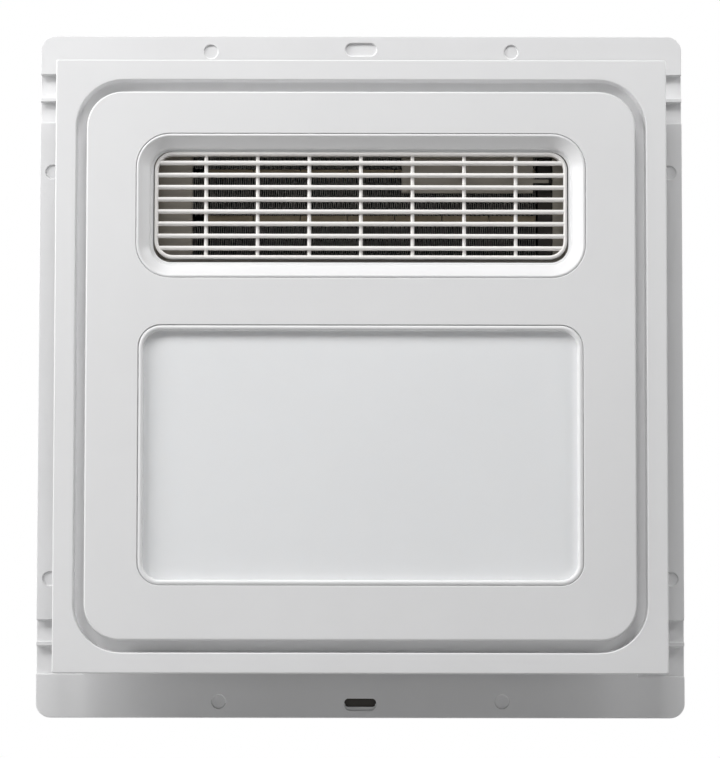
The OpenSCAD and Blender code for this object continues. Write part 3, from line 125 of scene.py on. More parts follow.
def direct_look(tree):
    """1 where a surface or the world is seen by the camera, in a reflection or through glass."""
    path = tree.nodes.new("ShaderNodeLightPath")
    value = path.outputs["Is Camera Ray"]
    for other in ("Is Glossy Ray", "Is Transmission Ray"):
        pick = tree.nodes.new("ShaderNodeMath")
        pick.operation = "MAXIMUM"
        tree.links.new(value, pick.inputs[0])
        tree.links.new(path.outputs[other], pick.inputs[1])
        value = pick.outputs[0]
    return value


def make_world():
    world = bpy.data.worlds.new("world")
    scene.world = world
    world.use_nodes = True
    tree = world.node_tree
    tree.nodes.clear()
    shades = []
    for colour, strength in ((FILL_COLOUR, FILL_STRENGTH), (WHITE, 1.0)):
        n = tree.nodes.new("ShaderNodeBackground")
        n.inputs["Color"].default_value = colour
        n.inputs["Strength"].default_value = strength
        shades.append(n)
    mix = tree.nodes.new("ShaderNodeMixShader")
    tree.links.new(direct_look(tree), mix.inputs[0])
    tree.links.new(shades[0].outputs[0], mix.inputs[1])
    tree.links.new(shades[1].outputs[0], mix.inputs[2])
    out = tree.nodes.new("ShaderNodeOutputWorld")
    tree.links.new(mix.outputs[0], out.inputs["Surface"])


make_world()


# materials
class Mat:
    """A material with a Principled shader and a few noise helpers in object space."""

    def __init__(self, name, colour, rough, metal=0.0):
        self.m = bpy.data.materials.new(name)
        self.m.use_nodes = True
        self.t = self.m.node_tree
        self.t.nodes.clear()
        self.out = self.t.nodes.new("ShaderNodeOutputMaterial")
        self.p = self.t.nodes.new("ShaderNodeBsdfPrincipled")
        self.t.links.new(self.p.outputs[0], self.out.inputs["Surface"])
        self.p.inputs["Base Color"].default_value = (*colour, 1)
        self.p.inputs["Roughness"].default_value = rough
        self.p.inputs["Metallic"].default_value = metal
        self.coord = self.t.nodes.new("ShaderNodeTexCoord")
        self.last_bump = None

    def place(self, scale=(1, 1, 1)):
        n = self.t.nodes.new("ShaderNodeMapping")
        n.inputs["Scale"].default_value = scale
        self.t.links.new(self.coord.outputs["Object"], n.inputs["Vector"])
        return n.outputs[0]

    def noise(self, scale, detail=3.0, rough=0.5, stretch=(1, 1, 1)):
        n = self.t.nodes.new("ShaderNodeTexNoise")
        n.inputs["Scale"].default_value = scale
        n.inputs["Detail"].default_value = detail
        n.inputs["Roughness"].default_value = rough
        self.t.links.new(self.place(stretch), n.inputs["Vector"])
        return n.outputs["Fac"]

    def cells(self, scale):
        n = self.t.nodes.new("ShaderNodeTexVoronoi")
        n.inputs["Scale"].default_value = scale
        self.t.links.new(self.place(), n.inputs["Vector"])
        return n.outputs["Color"]

    def waves(self, scale, direction="X", distortion=0.0):
        n = self.t.nodes.new("ShaderNodeTexWave")
        n.bands_direction = direction
        n.inputs["Scale"].default_value = scale
        n.inputs["Distortion"].default_value = distortion
        self.t.links.new(self.coord.outputs["Object"], n.inputs["Vector"])
        return n.outputs["Fac"]

    def ramp(self, value, low, high, a, b):
        n = self.t.nodes.new("ShaderNodeMapRange")
        n.inputs["From Min"].default_value = low
        n.inputs["From Max"].default_value = high
        n.inputs["To Min"].default_value = a
        n.inputs["To Max"].default_value = b
        self.t.links.new(value, n.inputs["Value"])
        return n.outputs[0]

    def tint(self, value, colour_a, colour_b, low=0.3, high=0.7):
        """One colour where the value is low and the other where it is high."""
        n = self.t.nodes.new("ShaderNodeMix")
        n.data_type = "RGBA"
        n.inputs["A"].default_value = (*colour_a, 1)
        n.inputs["B"].default_value = (*colour_b, 1)
        self.t.links.new(self.ramp(value, low, high, 0, 1), n.inputs["Factor"])
        return n.outputs["Result"]

    def over(self, value, under, colour, low=0.3, high=0.7, most=1.0):
        """The colour laid over what is under it where the value is high, at most by this share."""
        n = self.t.nodes.new("ShaderNodeMix")
        n.data_type = "RGBA"
        self.t.links.new(under, n.inputs["A"])
        n.inputs["B"].default_value = (*colour, 1)
        self.t.links.new(self.ramp(value, low, high, 0, most), n.inputs["Factor"])
        return n.outputs["Result"]

    def set_colour(self, socket):
        self.t.links.new(socket, self.p.inputs["Base Color"])

    def set_rough(self, value, a, b, low=0.3, high=0.7):
        self.t.links.new(self.ramp(value, low, high, a, b), self.p.inputs["Roughness"])

    def bump(self, value, distance, strength=1.0):
        n = self.t.nodes.new("ShaderNodeBump")
        n.inputs["Distance"].default_value = distance
        n.inputs["Strength"].default_value = strength
        self.t.links.new(value, n.inputs["Height"])
        if self.last_bump is not None:
            self.t.links.new(self.last_bump, n.inputs["Normal"])
        self.t.links.new(n.outputs[0], self.p.inputs["Normal"])
        self.last_bump = n.outputs[0]

    def put(self, socket, value):
        """Sets a socket of the shader by name."""
        self.p.inputs[socket].default_value = value


def shade(colour, k):
    return tuple(min(1.0, c * k) for c in colour)


def plastic(name, colour, rough, grain=0.000012, grain_scale=1500, mottle=0.015, gloss=0.5):
    """Moulded plastic with a fine grain and a slow, faint mottle."""
    m = Mat(name, colour, rough)
    m.set_colour(m.tint(m.noise(9, 4, 0.6), shade(colour, 1 - mottle), shade(colour, 1 + mottle)))
    m.set_rough(m.noise(55, 3, 0.6), rough - 0.05, rough + 0.05)
    m.bump(m.noise(grain_scale, 2, 0.5), grain)
    m.bump(m.noise(14, 2, 0.5), 0.00004, 0.5)
    m.put("Specular IOR Level", gloss)
    return m.m


def sheet_steel(name, colour, rough, spangle=170.0):
    """Galvanised sheet with a spangle and dull patches."""
    m = Mat(name, colour, rough, 0.65)
    cells = m.cells(spangle)
    base = m.tint(cells, shade(colour, 0.91), shade(colour, 1.07), 0.1, 0.9)
    m.set_colour(m.over(m.noise(6, 4, 0.6), base, shade(colour, 0.82), 0.45, 0.85, 0.4))
    m.set_rough(cells, rough - 0.05, rough + 0.06, 0.1, 0.9)
    m.bump(m.noise(420, 3, 0.6, (1, 1, 6)), 0.000010)
    m.bump(m.noise(20, 2, 0.5), 0.00008, 0.4)
    return m.m


def bright_metal(name, colour, rough, stretch=(1, 12, 1)):
    """Plated or plain metal with fine lines along Y."""
    m = Mat(name, colour, rough, 1.0)
    m.set_colour(m.tint(m.noise(260, 4, 0.6, stretch), shade(colour, 0.82), shade(colour, 1.08)))
    m.set_rough(m.noise(180, 3, 0.6, stretch), rough - 0.05, rough + 0.07)
    m.bump(m.noise(900, 2, 0.5, stretch), 0.000008)
    return m.m


MATS = {
    "flange_plastic": plastic("flange_plastic_look", (0.80, 0.80, 0.805), 0.42),
    "panel_plastic": plastic("panel_plastic_look", (0.82, 0.82, 0.825), 0.36, 0.000010),
    "grille_plastic": plastic("grille_plastic_look", (0.86, 0.84, 0.82), 0.38),
    "collar_plastic": plastic("collar_plastic_look", (0.74, 0.75, 0.74), 0.45, 0.00002, 900),
    "flap_plastic": plastic("flap_plastic_look", (0.09, 0.095, 0.10), 0.45, 0.00002, 900, 0.08),
    "dark_plastic": plastic("dark_plastic_look", (0.032, 0.027, 0.022), 0.44, 0.00002, 900, 0.15, 0.3),
    "damper_plastic": plastic("damper_plastic_look", (0.30, 0.32, 0.34), 0.45, 0.00002, 900, 0.05),
    "fan_plastic": plastic("fan_plastic_look", (0.055, 0.058, 0.062), 0.42, 0.00003, 700, 0.1),
    "wheel_plastic": plastic("wheel_plastic_look", (0.62, 0.65, 0.68), 0.40, 0.00002, 900, 0.03),
    "box_plastic": plastic("box_plastic_look", (0.74, 0.74, 0.71), 0.46, 0.00003, 700, 0.03),
    "block_plastic": plastic("block_plastic_look", (0.80, 0.78, 0.70), 0.40, 0.00002, 900, 0.04),
    "zinc_sheet": sheet_steel("zinc_sheet_look", (0.40, 0.415, 0.43), 0.44),
    "screw_steel": bright_metal("screw_steel_look", (0.66, 0.66, 0.67), 0.37, (1, 1, 1)),
    "plated_steel": bright_metal("plated_steel_look", (0.64, 0.65, 0.66), 0.36),
    "tab_brass": bright_metal("tab_brass_look", (0.78, 0.60, 0.27), 0.38),
}


def duct_grey_with_shade():
    """The warm grey of the sheet round the heater, partly painted shade for the inside of the duct."""
    # the base colour is kept dark partly as painted shade for the inside of the duct
    colour = (0.335, 0.308, 0.266)
    m = Mat("duct_steel_look", colour, 0.36, 0.35)
    m.set_colour(m.tint(m.noise(30, 4, 0.65, (1, 1, 3)), shade(colour, 0.86), shade(colour, 1.08)))
    m.set_rough(m.noise(90, 3, 0.6, (1, 1, 5)), 0.31, 0.43)
    m.bump(m.noise(500, 3, 0.6, (1, 1, 8)), 0.00001)
    return m.m


def fin_black():
    """Blackened foil, with a painted highlight along its front edges."""
    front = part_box("ptc_fins")[0].y
    ramp_back = 0.0006
    ramp_front = 0.0003
    m = Mat("fin_metal_look", (0.006, 0.006, 0.006), 0.48)
    axes = m.t.nodes.new("ShaderNodeSeparateXYZ")
    m.t.links.new(m.coord.outputs["Object"], axes.inputs[0])
    base = m.tint(m.noise(160, 3, 0.6), (0.003, 0.003, 0.003), (0.007, 0.007, 0.006))
    # the lighter band along the front edges is a painted highlight, where light catches the foil
    front_highlight = m.over(axes.outputs["Y"], base, (0.34, 0.33, 0.315), front + ramp_back,
                    front + ramp_front, 0.95)
    m.set_colour(m.over(m.noise(420, 2, 0.6), front_highlight, (0.02, 0.02, 0.02), 0.54, 0.74, 0.5))
    m.set_rough(m.noise(300, 3, 0.6), 0.42, 0.62)
    m.bump(m.noise(900, 2, 0.6), 0.00003)
    m.put("Specular IOR Level", 0.25)
    return m.m


def tile_tan():
    """Tan ceramic with dark flecks."""
    m = Mat("tile_ceramic_look", (0.30, 0.25, 0.165), 0.55)
    base = m.tint(m.noise(34, 3, 0.6), (0.25, 0.205, 0.135), (0.36, 0.30, 0.205))
    m.set_colour(m.over(m.noise(420, 3, 0.7), base, (0.15, 0.12, 0.08), 0.52, 0.8, 0.6))
    m.set_rough(m.noise(260, 3, 0.6), 0.42, 0.68)
    m.bump(m.noise(1200, 3, 0.6), 0.00003)
    return m.m


def foam():
    m = Mat("seal_foam_look", (0.03, 0.03, 0.032), 0.9)
    m.set_colour(m.tint(m.noise(600, 4, 0.7), (0.018, 0.018, 0.02), (0.05, 0.05, 0.054)))
    m.bump(m.cells(900), 0.0003, 0.6)
    m.put("Sheen Weight", 0.2)
    return m.m


def rubber():
    m = Mat("grommet_rubber_look", (0.02, 0.02, 0.02), 0.7)
    m.set_colour(m.tint(m.noise(300, 3, 0.6), (0.014, 0.014, 0.014), (0.03, 0.03, 0.03)))
    m.bump(m.noise(1500, 2, 0.5), 0.00002)
    return m.m


def paint(name, colour, rough):
    """Powder coat on metal."""
    m = Mat(name, colour, rough)
    m.set_colour(m.tint(m.noise(12, 4, 0.6), shade(colour, 0.95), shade(colour, 1.03)))
    m.set_rough(m.noise(70, 3, 0.6), rough - 0.06, rough + 0.06)
    m.bump(m.noise(800, 2, 0.5), 0.00003, 0.7)
    m.put("Coat Weight", 0.15)
    return m.m


def board(name, colour):
    """Circuit board with faint lines."""
    m = Mat(name, colour, 0.35)
    base = m.tint(m.noise(40, 3, 0.6), shade(colour, 0.9), shade(colour, 1.06))
    m.set_colour(m.over(m.waves(90, "X", 0.4), base, shade(colour, 0.72), 0.8, 0.95, 0.5))
    m.set_rough(m.noise(200, 3, 0.6), 0.32, 0.46)
    m.bump(m.waves(90, "Z", 0.2), 0.00003, 0.6)
    return m.m


def chips():
    m = Mat("chip_yellow_look", (0.80, 0.62, 0.18), 0.25)
    m.set_colour(m.tint(m.noise(500, 3, 0.6), (0.74, 0.56, 0.15), (0.86, 0.70, 0.26)))
    m.bump(m.noise(900, 2, 0.5), 0.00004)
    m.put("Coat Weight", 0.5)
    return m.m


def milky():
    """Milky plastic of the light's pane, a little soft inside."""
    colour = (0.865, 0.875, 0.885)
    m = Mat("lens_plastic_look", colour, 0.36)
    m.set_colour(m.tint(m.noise(7, 3, 0.6), shade(colour, 0.985), shade(colour, 1.01)))
    m.set_rough(m.noise(40, 3, 0.6), 0.33, 0.40)
    m.bump(m.noise(1400, 2, 0.5), 0.000008)
    m.put("Subsurface Weight", 0.25)
    m.put("Subsurface Radius", (0.9, 0.95, 1.0))
    m.put("Subsurface Scale", 0.002)
    m.put("Coat Weight", 0.2)
    m.put("Coat Roughness", 0.34)
    return m.m


MATS["duct_steel"] = duct_grey_with_shade()
MATS["fin_metal"] = fin_black()
MATS["tile_ceramic"] = tile_tan()
MATS["seal_foam"] = foam()
MATS["grommet_rubber"] = rubber()
MATS["motor_metal"] = paint("motor_metal_look", (0.30, 0.32, 0.34), 0.38)
MATS["tray_metal"] = paint("tray_metal_look", (0.80, 0.80, 0.80), 0.40)
MATS["board_white"] = board("board_white_look", (0.82, 0.82, 0.79))
MATS["board_green"] = board("board_green_look", (0.02, 0.12, 0.045))
MATS["chip_yellow"] = chips()
MATS["lens_plastic"] = milky()

body_nodes = frame["record"]["behaviour"]["bodies"]
slot_of = {s["node"]: s["material_slot"] for s in frame["record"]["subparts"]}
for node, obj in frame["nodes"].items():
    for s in obj.material_slots:
        s.material = MATS[slot_of[node]]


# mesh helpers
def cad(node):
    """Low x, y, z and high x, y, z of a CAD node, in millimetres."""
    low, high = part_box(node)
    return [round(c / MM, 3) for c in (*low, *high)]


def corner_ring(w, h, r, y, z, seg):
    """Points of a round-cornered rectangle on the middle line, anticlockwise seen from the room.

    Its middle height is z, and all is in millimetres."""
    r = max(r, 0.01)
    out = []
    for k, (sx, sz) in enumerate(((1, 1), (-1, 1), (-1, -1), (1, -1))):
        for i in range(seg + 1):
            a = math.radians(90 * k + 90 * i / seg)
            out.append((sx * (w / 2 - r) + r * math.cos(a), y,
                        z + sz * (h / 2 - r) + r * math.sin(a)))
    return out


def add_ring(bm, points):
    return [bm.verts.new((x * MM, y * MM, z * MM)) for x, y, z in points]


def bridge(bm, a, b):
    """Quads between two closed rings. They face out where a lies outside or behind b."""
    n = len(a)
    for i in range(n):
        bm.faces.new((a[i], a[(i + 1) % n], b[(i + 1) % n], b[i]))


def flat_fill(bm, *rings):
    """One flat face set inside the first ring, with the other rings as holes."""
    edges = []
    for ring in rings:
        for i in range(len(ring)):
            pair = (ring[i], ring[(i + 1) % len(ring)])
            e = bm.edges.get(pair) or bm.edges.new(pair)
            edges.append(e)
    made = bmesh.ops.triangle_fill(bm, use_beauty=True, use_dissolve=False, edges=edges)
    return [g for g in made["geom"] if isinstance(g, bmesh.types.BMFace)]


def to_object(name, bm, smooth=True):
    """Turns the bmesh into an object of the scene and frees it."""
    me = bpy.data.meshes.new(name)
    bm.to_mesh(me)
    bm.free()
    if smooth:
        for p in me.polygons:
            p.use_smooth = True
    ob = bpy.data.objects.new(name, me)
    scene.collection.objects.link(ob)
    return ob


def face_towards(faces, direction):
    for f in faces:
        f.normal_update()
        if f.normal.dot(direction) < 0:
            f.normal_flip()


def sharpen(ob, degrees):
    """Keeps edges steeper than this crisp, and lets flat faces keep flat light."""
    me = ob.data
    bm = bmesh.new()
    bm.from_mesh(me)
    limit = math.radians(degrees)
    for e in bm.edges:
        e.smooth = not (len(e.link_faces) == 2 and e.calc_face_angle(0) > limit)
    bm.to_mesh(me)
    bm.free()
    for p in me.polygons:
        p.use_smooth = True
    mod = ob.modifiers.new("flat_light", "WEIGHTED_NORMAL")
    mod.keep_sharp = True
    mod.weight = 80


def bake(ob):
    """Applies the modifiers that are on the object so far."""
    graph = bpy.context.evaluated_depsgraph_get()
    graph.update()
    me = bpy.data.meshes.new_from_object(ob.evaluated_get(graph))
    ob.modifiers.clear()
    ob.data = me


def cut(ob, cutter):
    """Takes the cutter out of the object and removes the cutter."""
    mod = ob.modifiers.new("cut", "BOOLEAN")
    mod.object = cutter
    mod.operation = "DIFFERENCE"
    mod.solver = "EXACT"
    bake(ob)
    bpy.data.objects.remove(cutter, do_unlink=True)


def block_mesh(name, x0, x1, y0, y1, z0, z1):
    bm = bmesh.new()
    made = bmesh.ops.create_cube(bm, size=1.0)
    for v in made["verts"]:
        v.co = Vector(((x0 + x1) / 2 + v.co.x * (x1 - x0), (y0 + y1) / 2 + v.co.y * (y1 - y0),
                       (z0 + z1) / 2 + v.co.z * (z1 - z0))) * MM
    return to_object(name, bm, False)


def finish_piece(ob, node, body=None, slot=None):
    """Gives a piece its material and body, and hides the CAD node that it stands for, if any."""
    slot = slot or slot_of[node]
    body = body or next(b for b, nodes in body_nodes.items() if node in nodes)
    ob.data.materials.clear()
    ob.data.materials.append(MATS[slot])
    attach(ob, body)
    if node:
        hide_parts(node)


SAME_POINT = 0.000002
FLAT_DEGREES = 0.3
ROLL_DEGREES = 35
SHORT_EDGE = 0.012
CRISP_DEGREES = 50
AREA_LOW = 0.95
AREA_HIGH = 1.005


def node_mesh(node, merge_flat):
    """The CAD node's triangles as a bmesh, with flat neighbours joined if merge_flat."""
    bm = bmesh.new()
    verts = [bm.verts.new(v.co) for v in frame["nodes"][node].data.vertices]
    for p in frame["nodes"][node].data.polygons:
        try:
            bm.faces.new([verts[i] for i in p.vertices])
        except ValueError:
            # a face that is there already is left out
            continue
    bmesh.ops.remove_doubles(bm, verts=bm.verts, dist=SAME_POINT)
    if merge_flat:
        flat = math.radians(FLAT_DEGREES)
        bmesh.ops.dissolve_limit(bm, angle_limit=flat, verts=bm.verts, edges=bm.edges)
    bmesh.ops.recalc_face_normals(bm, faces=bm.faces)
    return bm


def skin_area(bm):
    whole = bm.copy()
    bmesh.ops.triangulate(whole, faces=whole.faces, ngon_method="EAR_CLIP")
    area = sum(f.calc_area() for f in whole.faces)
    whole.free()
    return area


def sharp_edges(bm, shortest):
    return [e for e in bm.edges if len(e.link_faces) == 2 and e.calc_length() >= shortest
            and e.calc_face_angle(0) > math.radians(ROLL_DEGREES)]


def rounded_copy(node, width, seg, cutters=(), reshape=None):
    """The CAD node's own shape with its sharp edges rolled over, as moulded or folded parts have them.

    A roll that runs wild changes the skin's area, so a gentler way is tried until one is sound,
    and if none is, the edges stay sharp. The cutters are then taken out of it."""
    for merge_flat, shortest in ((True, 0.0), (False, 0.0), (True, SHORT_EDGE), (False, SHORT_EDGE)):
        bm = node_mesh(node, merge_flat)
        if reshape:
            reshape(bm)
        plain = skin_area(bm)
        bmesh.ops.bevel(bm, geom=sharp_edges(bm, shortest), offset=width * MM, offset_type="OFFSET",
                        segments=seg, profile=0.5, affect="EDGES", clamp_overlap=False)
        if AREA_LOW < skin_area(bm) / plain < AREA_HIGH:
            break
        bm.free()
    else:
        bm = node_mesh(node, True)
        if reshape:
            reshape(bm)
    ob = to_object(node + "_dressed", bm)
    for cutter in cutters:
        cut(ob, cutter)
    sharpen(ob, CRISP_DEGREES)
    finish_piece(ob, node)


# front panel, in millimetres: a border, a groove and a raised middle with two openings
PANEL_LEFT, FACE, PANEL_FOOT, PANEL_RIGHT, BACK, PANEL_TOP = cad("front_panel")
PANEL_W = PANEL_RIGHT - PANEL_LEFT
PANEL_H = PANEL_TOP - PANEL_FOOT
PANEL_Z = (PANEL_TOP + PANEL_FOOT) / 2
PANEL_R = 1.6
PANEL_EDGE = 0.9
PANEL_SEG = 10
BORDER = FACE + 2.5
RAISED = 386.0
RAISED_R = 25.5
RAISED_ROLL = 1.25
GROOVE_SIDE = 8.6
GROOVE_END = 9.6
GROOVE_DEPTH = 9.0
SHOULDER = 0.95
WALL = 2.0
SKIN = 2.5
INNER_FACE = FACE + 2.4
GROOVE_BACK = BORDER + GROOVE_DEPTH + WALL
SIDE_H = 6.0
SEAM = 0.16
LIP = 0.55
HIDDEN_RIM = 3.0
NOTCH_W = 22.0
NOTCH_H = 3.5
NOTCH_DEPTH = 4.0
NOTCH_RIGHT = PANEL_RIGHT - 4
BEZEL_R = 24.0
LENS_R = 16.0
TO_ROOM = Vector((0, -1, 0))
TO_CEILING = Vector((0, 1, 0))


def seen_size(node, radius):
    """Width, height, corner radius and middle height of a node less the rim behind the panel."""
    left, _, foot, right, _, top = cad(node)
    return right - left - 2 * HIDDEN_RIM, top - foot - 2 * HIDDEN_RIM, radius, (top + foot) / 2


BEZEL = seen_size("outlet_bezel", BEZEL_R)
LENS = seen_size("lens_frame", LENS_R)


def ring_round(bm, size, out, y, seg):
    """A ring round a piece of this size, this much outside its edge."""
    w, h, r, z = size
    return add_ring(bm, corner_ring(w + 2 * out, h + 2 * out, r + out, y, z, seg))


def opening_lip(bm, size):
    """The rolled lip of an opening, joined to its straight side. Returns the outer ring."""
    loops = []
    for i in range(5):
        a = math.radians(90 * i / 4)
        out = SEAM + LIP * (1 - math.sin(a))
        loops.append(ring_round(bm, size, out, FACE + LIP * (1 - math.cos(a)), PANEL_SEG))
    loops.append(ring_round(bm, size, SEAM, INNER_FACE, PANEL_SEG))
    for a, b in zip(loops, loops[1:]):
        bridge(bm, a, b)
    return loops[0]


def make_panel():
    bm = bmesh.new()
    rings = []

    def at(w, h, r, y):
        rings.append(add_ring(bm, corner_ring(w, h, r, y, PANEL_Z, PANEL_SEG)))

    def round_raised(side, end, y):
        at(RAISED + 2 * side, RAISED + 2 * end, RAISED_R + (side + end) / 2, y)

    at(PANEL_W, PANEL_H, PANEL_R, BACK)
    at(PANEL_W, PANEL_H, PANEL_R, BACK - SIDE_H)
    for i in range(5):
        a = math.radians(90 * i / 4)
        d = PANEL_EDGE * (1 - math.cos(a))
        at(PANEL_W - 2 * d, PANEL_H - 2 * d, PANEL_R - d * 0.7, BORDER + PANEL_EDGE * (1 - math.sin(a)))
    # outer side of the groove: a soft shoulder, a steep wall and a rounded foot
    outer = []
    for i in range(9):
        a = math.radians(78 * i / 8)
        outer.append((SHOULDER * math.sin(a), SHOULDER * (1 - math.cos(a))))
    outer += [(SHOULDER + 0.35, GROOVE_DEPTH - 1.3), (SHOULDER + 0.55, GROOVE_DEPTH - 0.65),
              (SHOULDER + 0.95, GROOVE_DEPTH - 0.2), (SHOULDER + 1.6, GROOVE_DEPTH)]
    for inwards, y in outer:
        round_raised(GROOVE_SIDE - inwards, GROOVE_END - inwards, BORDER + y)
    # floor and the steep side of the raised middle
    floor_y = BORDER + GROOVE_DEPTH
    for out, y in ((1.0, floor_y), (0.45, floor_y - 0.16), (0.16, floor_y - 0.55),
                   (0.06, floor_y - 1.2), (0.0, BORDER)):
        round_raised(out, out, y)
    for i in range(7):
        a = math.radians(90 * i / 6)
        d = RAISED_ROLL * (1 - math.cos(a))
        round_raised(-d, -d, FACE + RAISED_ROLL * (1 - math.sin(a)))
    for a, b in zip(rings, rings[1:]):
        bridge(bm, a, b)
    lips = [opening_lip(bm, size) for size in (BEZEL, LENS)]
    face_towards(flat_fill(bm, rings[-1], *lips), TO_ROOM)
    # the inside of the moulding
    inner = (PANEL_W - 2 * SKIN, PANEL_H - 2 * SKIN, 0.6)
    behind = 0.5
    round_groove = (RAISED + 2 * (GROOVE_SIDE + behind), RAISED + 2 * (GROOVE_END + behind),
                    RAISED_R + GROOVE_SIDE + behind)
    hollow = (RAISED - 2 * SKIN, RAISED - 2 * SKIN, RAISED_R - SKIN)
    front_rings = len(rings)
    for size, y in ((inner, BACK), (inner, BORDER + SKIN), (round_groove, BORDER + SKIN),
                    (round_groove, GROOVE_BACK), (hollow, GROOVE_BACK), (hollow, INNER_FACE)):
        at(*size, y)
    inside = rings[front_rings:]
    bridge(bm, inside[0], rings[0])
    for a, b in zip(inside, inside[1:]):
        bridge(bm, b, a)
    backs = [ring_round(bm, size, SEAM, INNER_FACE, PANEL_SEG) for size in (BEZEL, LENS)]
    face_towards(flat_fill(bm, inside[-1], *backs), TO_CEILING)
    bmesh.ops.remove_doubles(bm, verts=bm.verts, dist=0.000001)
    ob = to_object("panel_shell", bm)
    cut(ob, block_mesh("notch", NOTCH_RIGHT - NOTCH_W, NOTCH_RIGHT, BACK - NOTCH_DEPTH, BACK + 1,
                       PANEL_FOOT - 1, PANEL_FOOT + NOTCH_H))
    sharpen(ob, 45)
    finish_piece(ob, "front_panel")


POST_R = 5.0
POST_FOOT_R = 7.5


def make_posts():
    """The four posts under the groove that plug into the flange, each with a foot and a round nose."""
    left, _, low, right, tip, high = cad("panel_posts")
    foot = GROOVE_BACK - 0.3
    profile = ((POST_FOOT_R, foot), (POST_FOOT_R, foot + 1.1), (POST_FOOT_R - 0.5, foot + 1.7),
               (POST_R + 0.5, foot + 2.2), (POST_R, foot + 3.0), (POST_R, tip - 2.4),
               (POST_R - 0.5, tip - 1.2), (POST_R - 1.4, tip - 0.35), (POST_R - 2.6, tip))
    turns = [math.radians(15 * k) for k in range(24)]
    bm = bmesh.new()
    for x in (left + POST_FOOT_R, right - POST_FOOT_R):
        for z in (low + POST_FOOT_R, high - POST_FOOT_R):
            rings = [add_ring(bm, [(x + r * math.cos(a), y, z + r * math.sin(a)) for a in turns])
                     for r, y in profile]
            for a, b in zip(rings, rings[1:]):
                bridge(bm, a, b)
            bm.faces.new(rings[0])
            bm.faces.new(rings[-1])
    bmesh.ops.recalc_face_normals(bm, faces=bm.faces)
    ob = to_object("panel_pegs", bm)
    sharpen(ob, CRISP_DEGREES)
    finish_piece(ob, "panel_posts")


make_panel()
make_posts()


# bezel round the outlet
BEZEL_BACK = cad("outlet_bezel")[4]
BEZEL_BEAD = 1.25
BEZEL_INNER_R = 12.5
BEZEL_SEG = 14
SLOPE_START = (2.3, FACE + 0.62)
SLOPE_END = (9.1, BEZEL_BACK - 3.7)
SLOPE_HOLLOW = 0.06


def make_bezel():
    bm = bmesh.new()
    w, h, r, z = BEZEL
    rings = []

    def at(d, y):
        radius = max(r - d, BEZEL_INNER_R)
        rings.append(add_ring(bm, corner_ring(w - 2 * d, h - 2 * d, radius, y, z, BEZEL_SEG)))

    at(0, FACE + 2.3)
    for i in range(11):
        a = math.radians(140 * i / 10)
        at(BEZEL_BEAD * (1 - math.cos(a)), FACE + 1.3 - BEZEL_BEAD * math.sin(a))
    # hollow slope down to a narrow flat lip round the grille
    d0, y0 = SLOPE_START
    d1, y1 = SLOPE_END
    for i in range(1, 13):
        u = i / 12
        at(d0 + (d1 - d0) * (u - SLOPE_HOLLOW * math.sin(math.pi * u)), y0 + (y1 - y0) * u)
    for d, above in ((9.5, 2.8), (9.75, 1.5), (10.2, 0.5), (11.3, 0.4), (11.75, 0.2), (11.75, 0.0),
                     (8, 0.0), (8, 1.0)):
        at(d, BEZEL_BACK - above)
    # the rim behind the panel
    for d, behind in ((1.5, 4.0), (-HIDDEN_RIM, 4.0), (-HIDDEN_RIM, 2.5), (0, 2.5)):
        at(d, FACE + behind)
    for a, b in zip(rings, rings[1:] + rings[:1]):
        bridge(bm, a, b)
    ob = to_object("bezel_shell", bm)
    sharpen(ob, CRISP_DEGREES)
    finish_piece(ob, "outlet_bezel")


make_bezel()


# ring round the light and its pane
LENS_SEG = 12
LENS_BEAD_W = 1.75
LENS_BEAD_H = 1.45
PANE_GAP = 0.05
PANE_R = LENS_R - 2.1


def make_lens_ring():
    bm = bmesh.new()
    rings = []

    def at(d, y):
        rings.append(ring_round(bm, LENS, -d, y, LENS_SEG))

    at(0, FACE + 2.45)
    for i in range(11):
        a = math.radians(180 * i / 10)
        at(0.05 + LENS_BEAD_W * (1 - math.cos(a)), FACE + 1.5 - LENS_BEAD_H * math.sin(a))
    for d, behind in ((3.9, 2.6), (4.0, 5.0), (2.0, 5.0), (2.0, 7.4), (0.4, 7.4), (0.4, 4.0),
                      (-HIDDEN_RIM, 4.0), (-HIDDEN_RIM, 2.5)):
        at(d, FACE + behind)
    for a, b in zip(rings, rings[1:] + rings[:1]):
        bridge(bm, a, b)
    ob = to_object("lens_ring", bm)
    sharpen(ob, CRISP_DEGREES)
    finish_piece(ob, "lens_frame")


def make_pane():
    """Milky pane with a low crown and a rolled edge."""
    left, front, foot, right, back, top = cad("light_lens")
    w = right - left - 2 * PANE_GAP
    h = top - foot - 2 * PANE_GAP
    z = (top + foot) / 2
    bm = bmesh.new()
    rings = []
    for d, y in ((0.0, back - PANE_GAP), (0.0, front + 0.3), (0.25, front + 0.05), (2.2, front),
                 (5.0, front + 0.08), (12.0, front + 0.14), (30.0, front + 0.16), (60.0, front + 0.17)):
        size = (w - 2 * d, h - 2 * d, max(PANE_R - d, 4.0))
        rings.append(add_ring(bm, corner_ring(*size, y, z, LENS_SEG)))
    for a, b in zip(rings, rings[1:]):
        bridge(bm, a, b)
    face_towards(flat_fill(bm, rings[-1]), TO_ROOM)
    face_towards(flat_fill(bm, rings[0]), TO_CEILING)
    ob = to_object("lens_pane", bm)
    sharpen(ob, 40)
    finish_piece(ob, "light_lens")


make_lens_ring()
make_pane()


# outlet grille
GRILLE_LEFT, GRILLE_FRONT, GRILLE_FOOT, GRILLE_RIGHT, GRILLE_BACK, GRILLE_TOP = cad("outlet_grille")
GRILLE_W = GRILLE_RIGHT - GRILLE_LEFT
GRILLE_H = GRILLE_TOP - GRILLE_FOOT
GRILLE_Z = (GRILLE_TOP + GRILLE_FOOT) / 2
GRILLE_R = 13.0
GRILLE_SEG = 12
BLADES = 8
BLADE_PITCH = 8.65
BLADE_HALF = 1.5
RIBS = 7
RIB_PITCH = 36.4
RIB_HALF = 1.35
RIM_HALF = 1.3
RIM_NOSE = 1.2


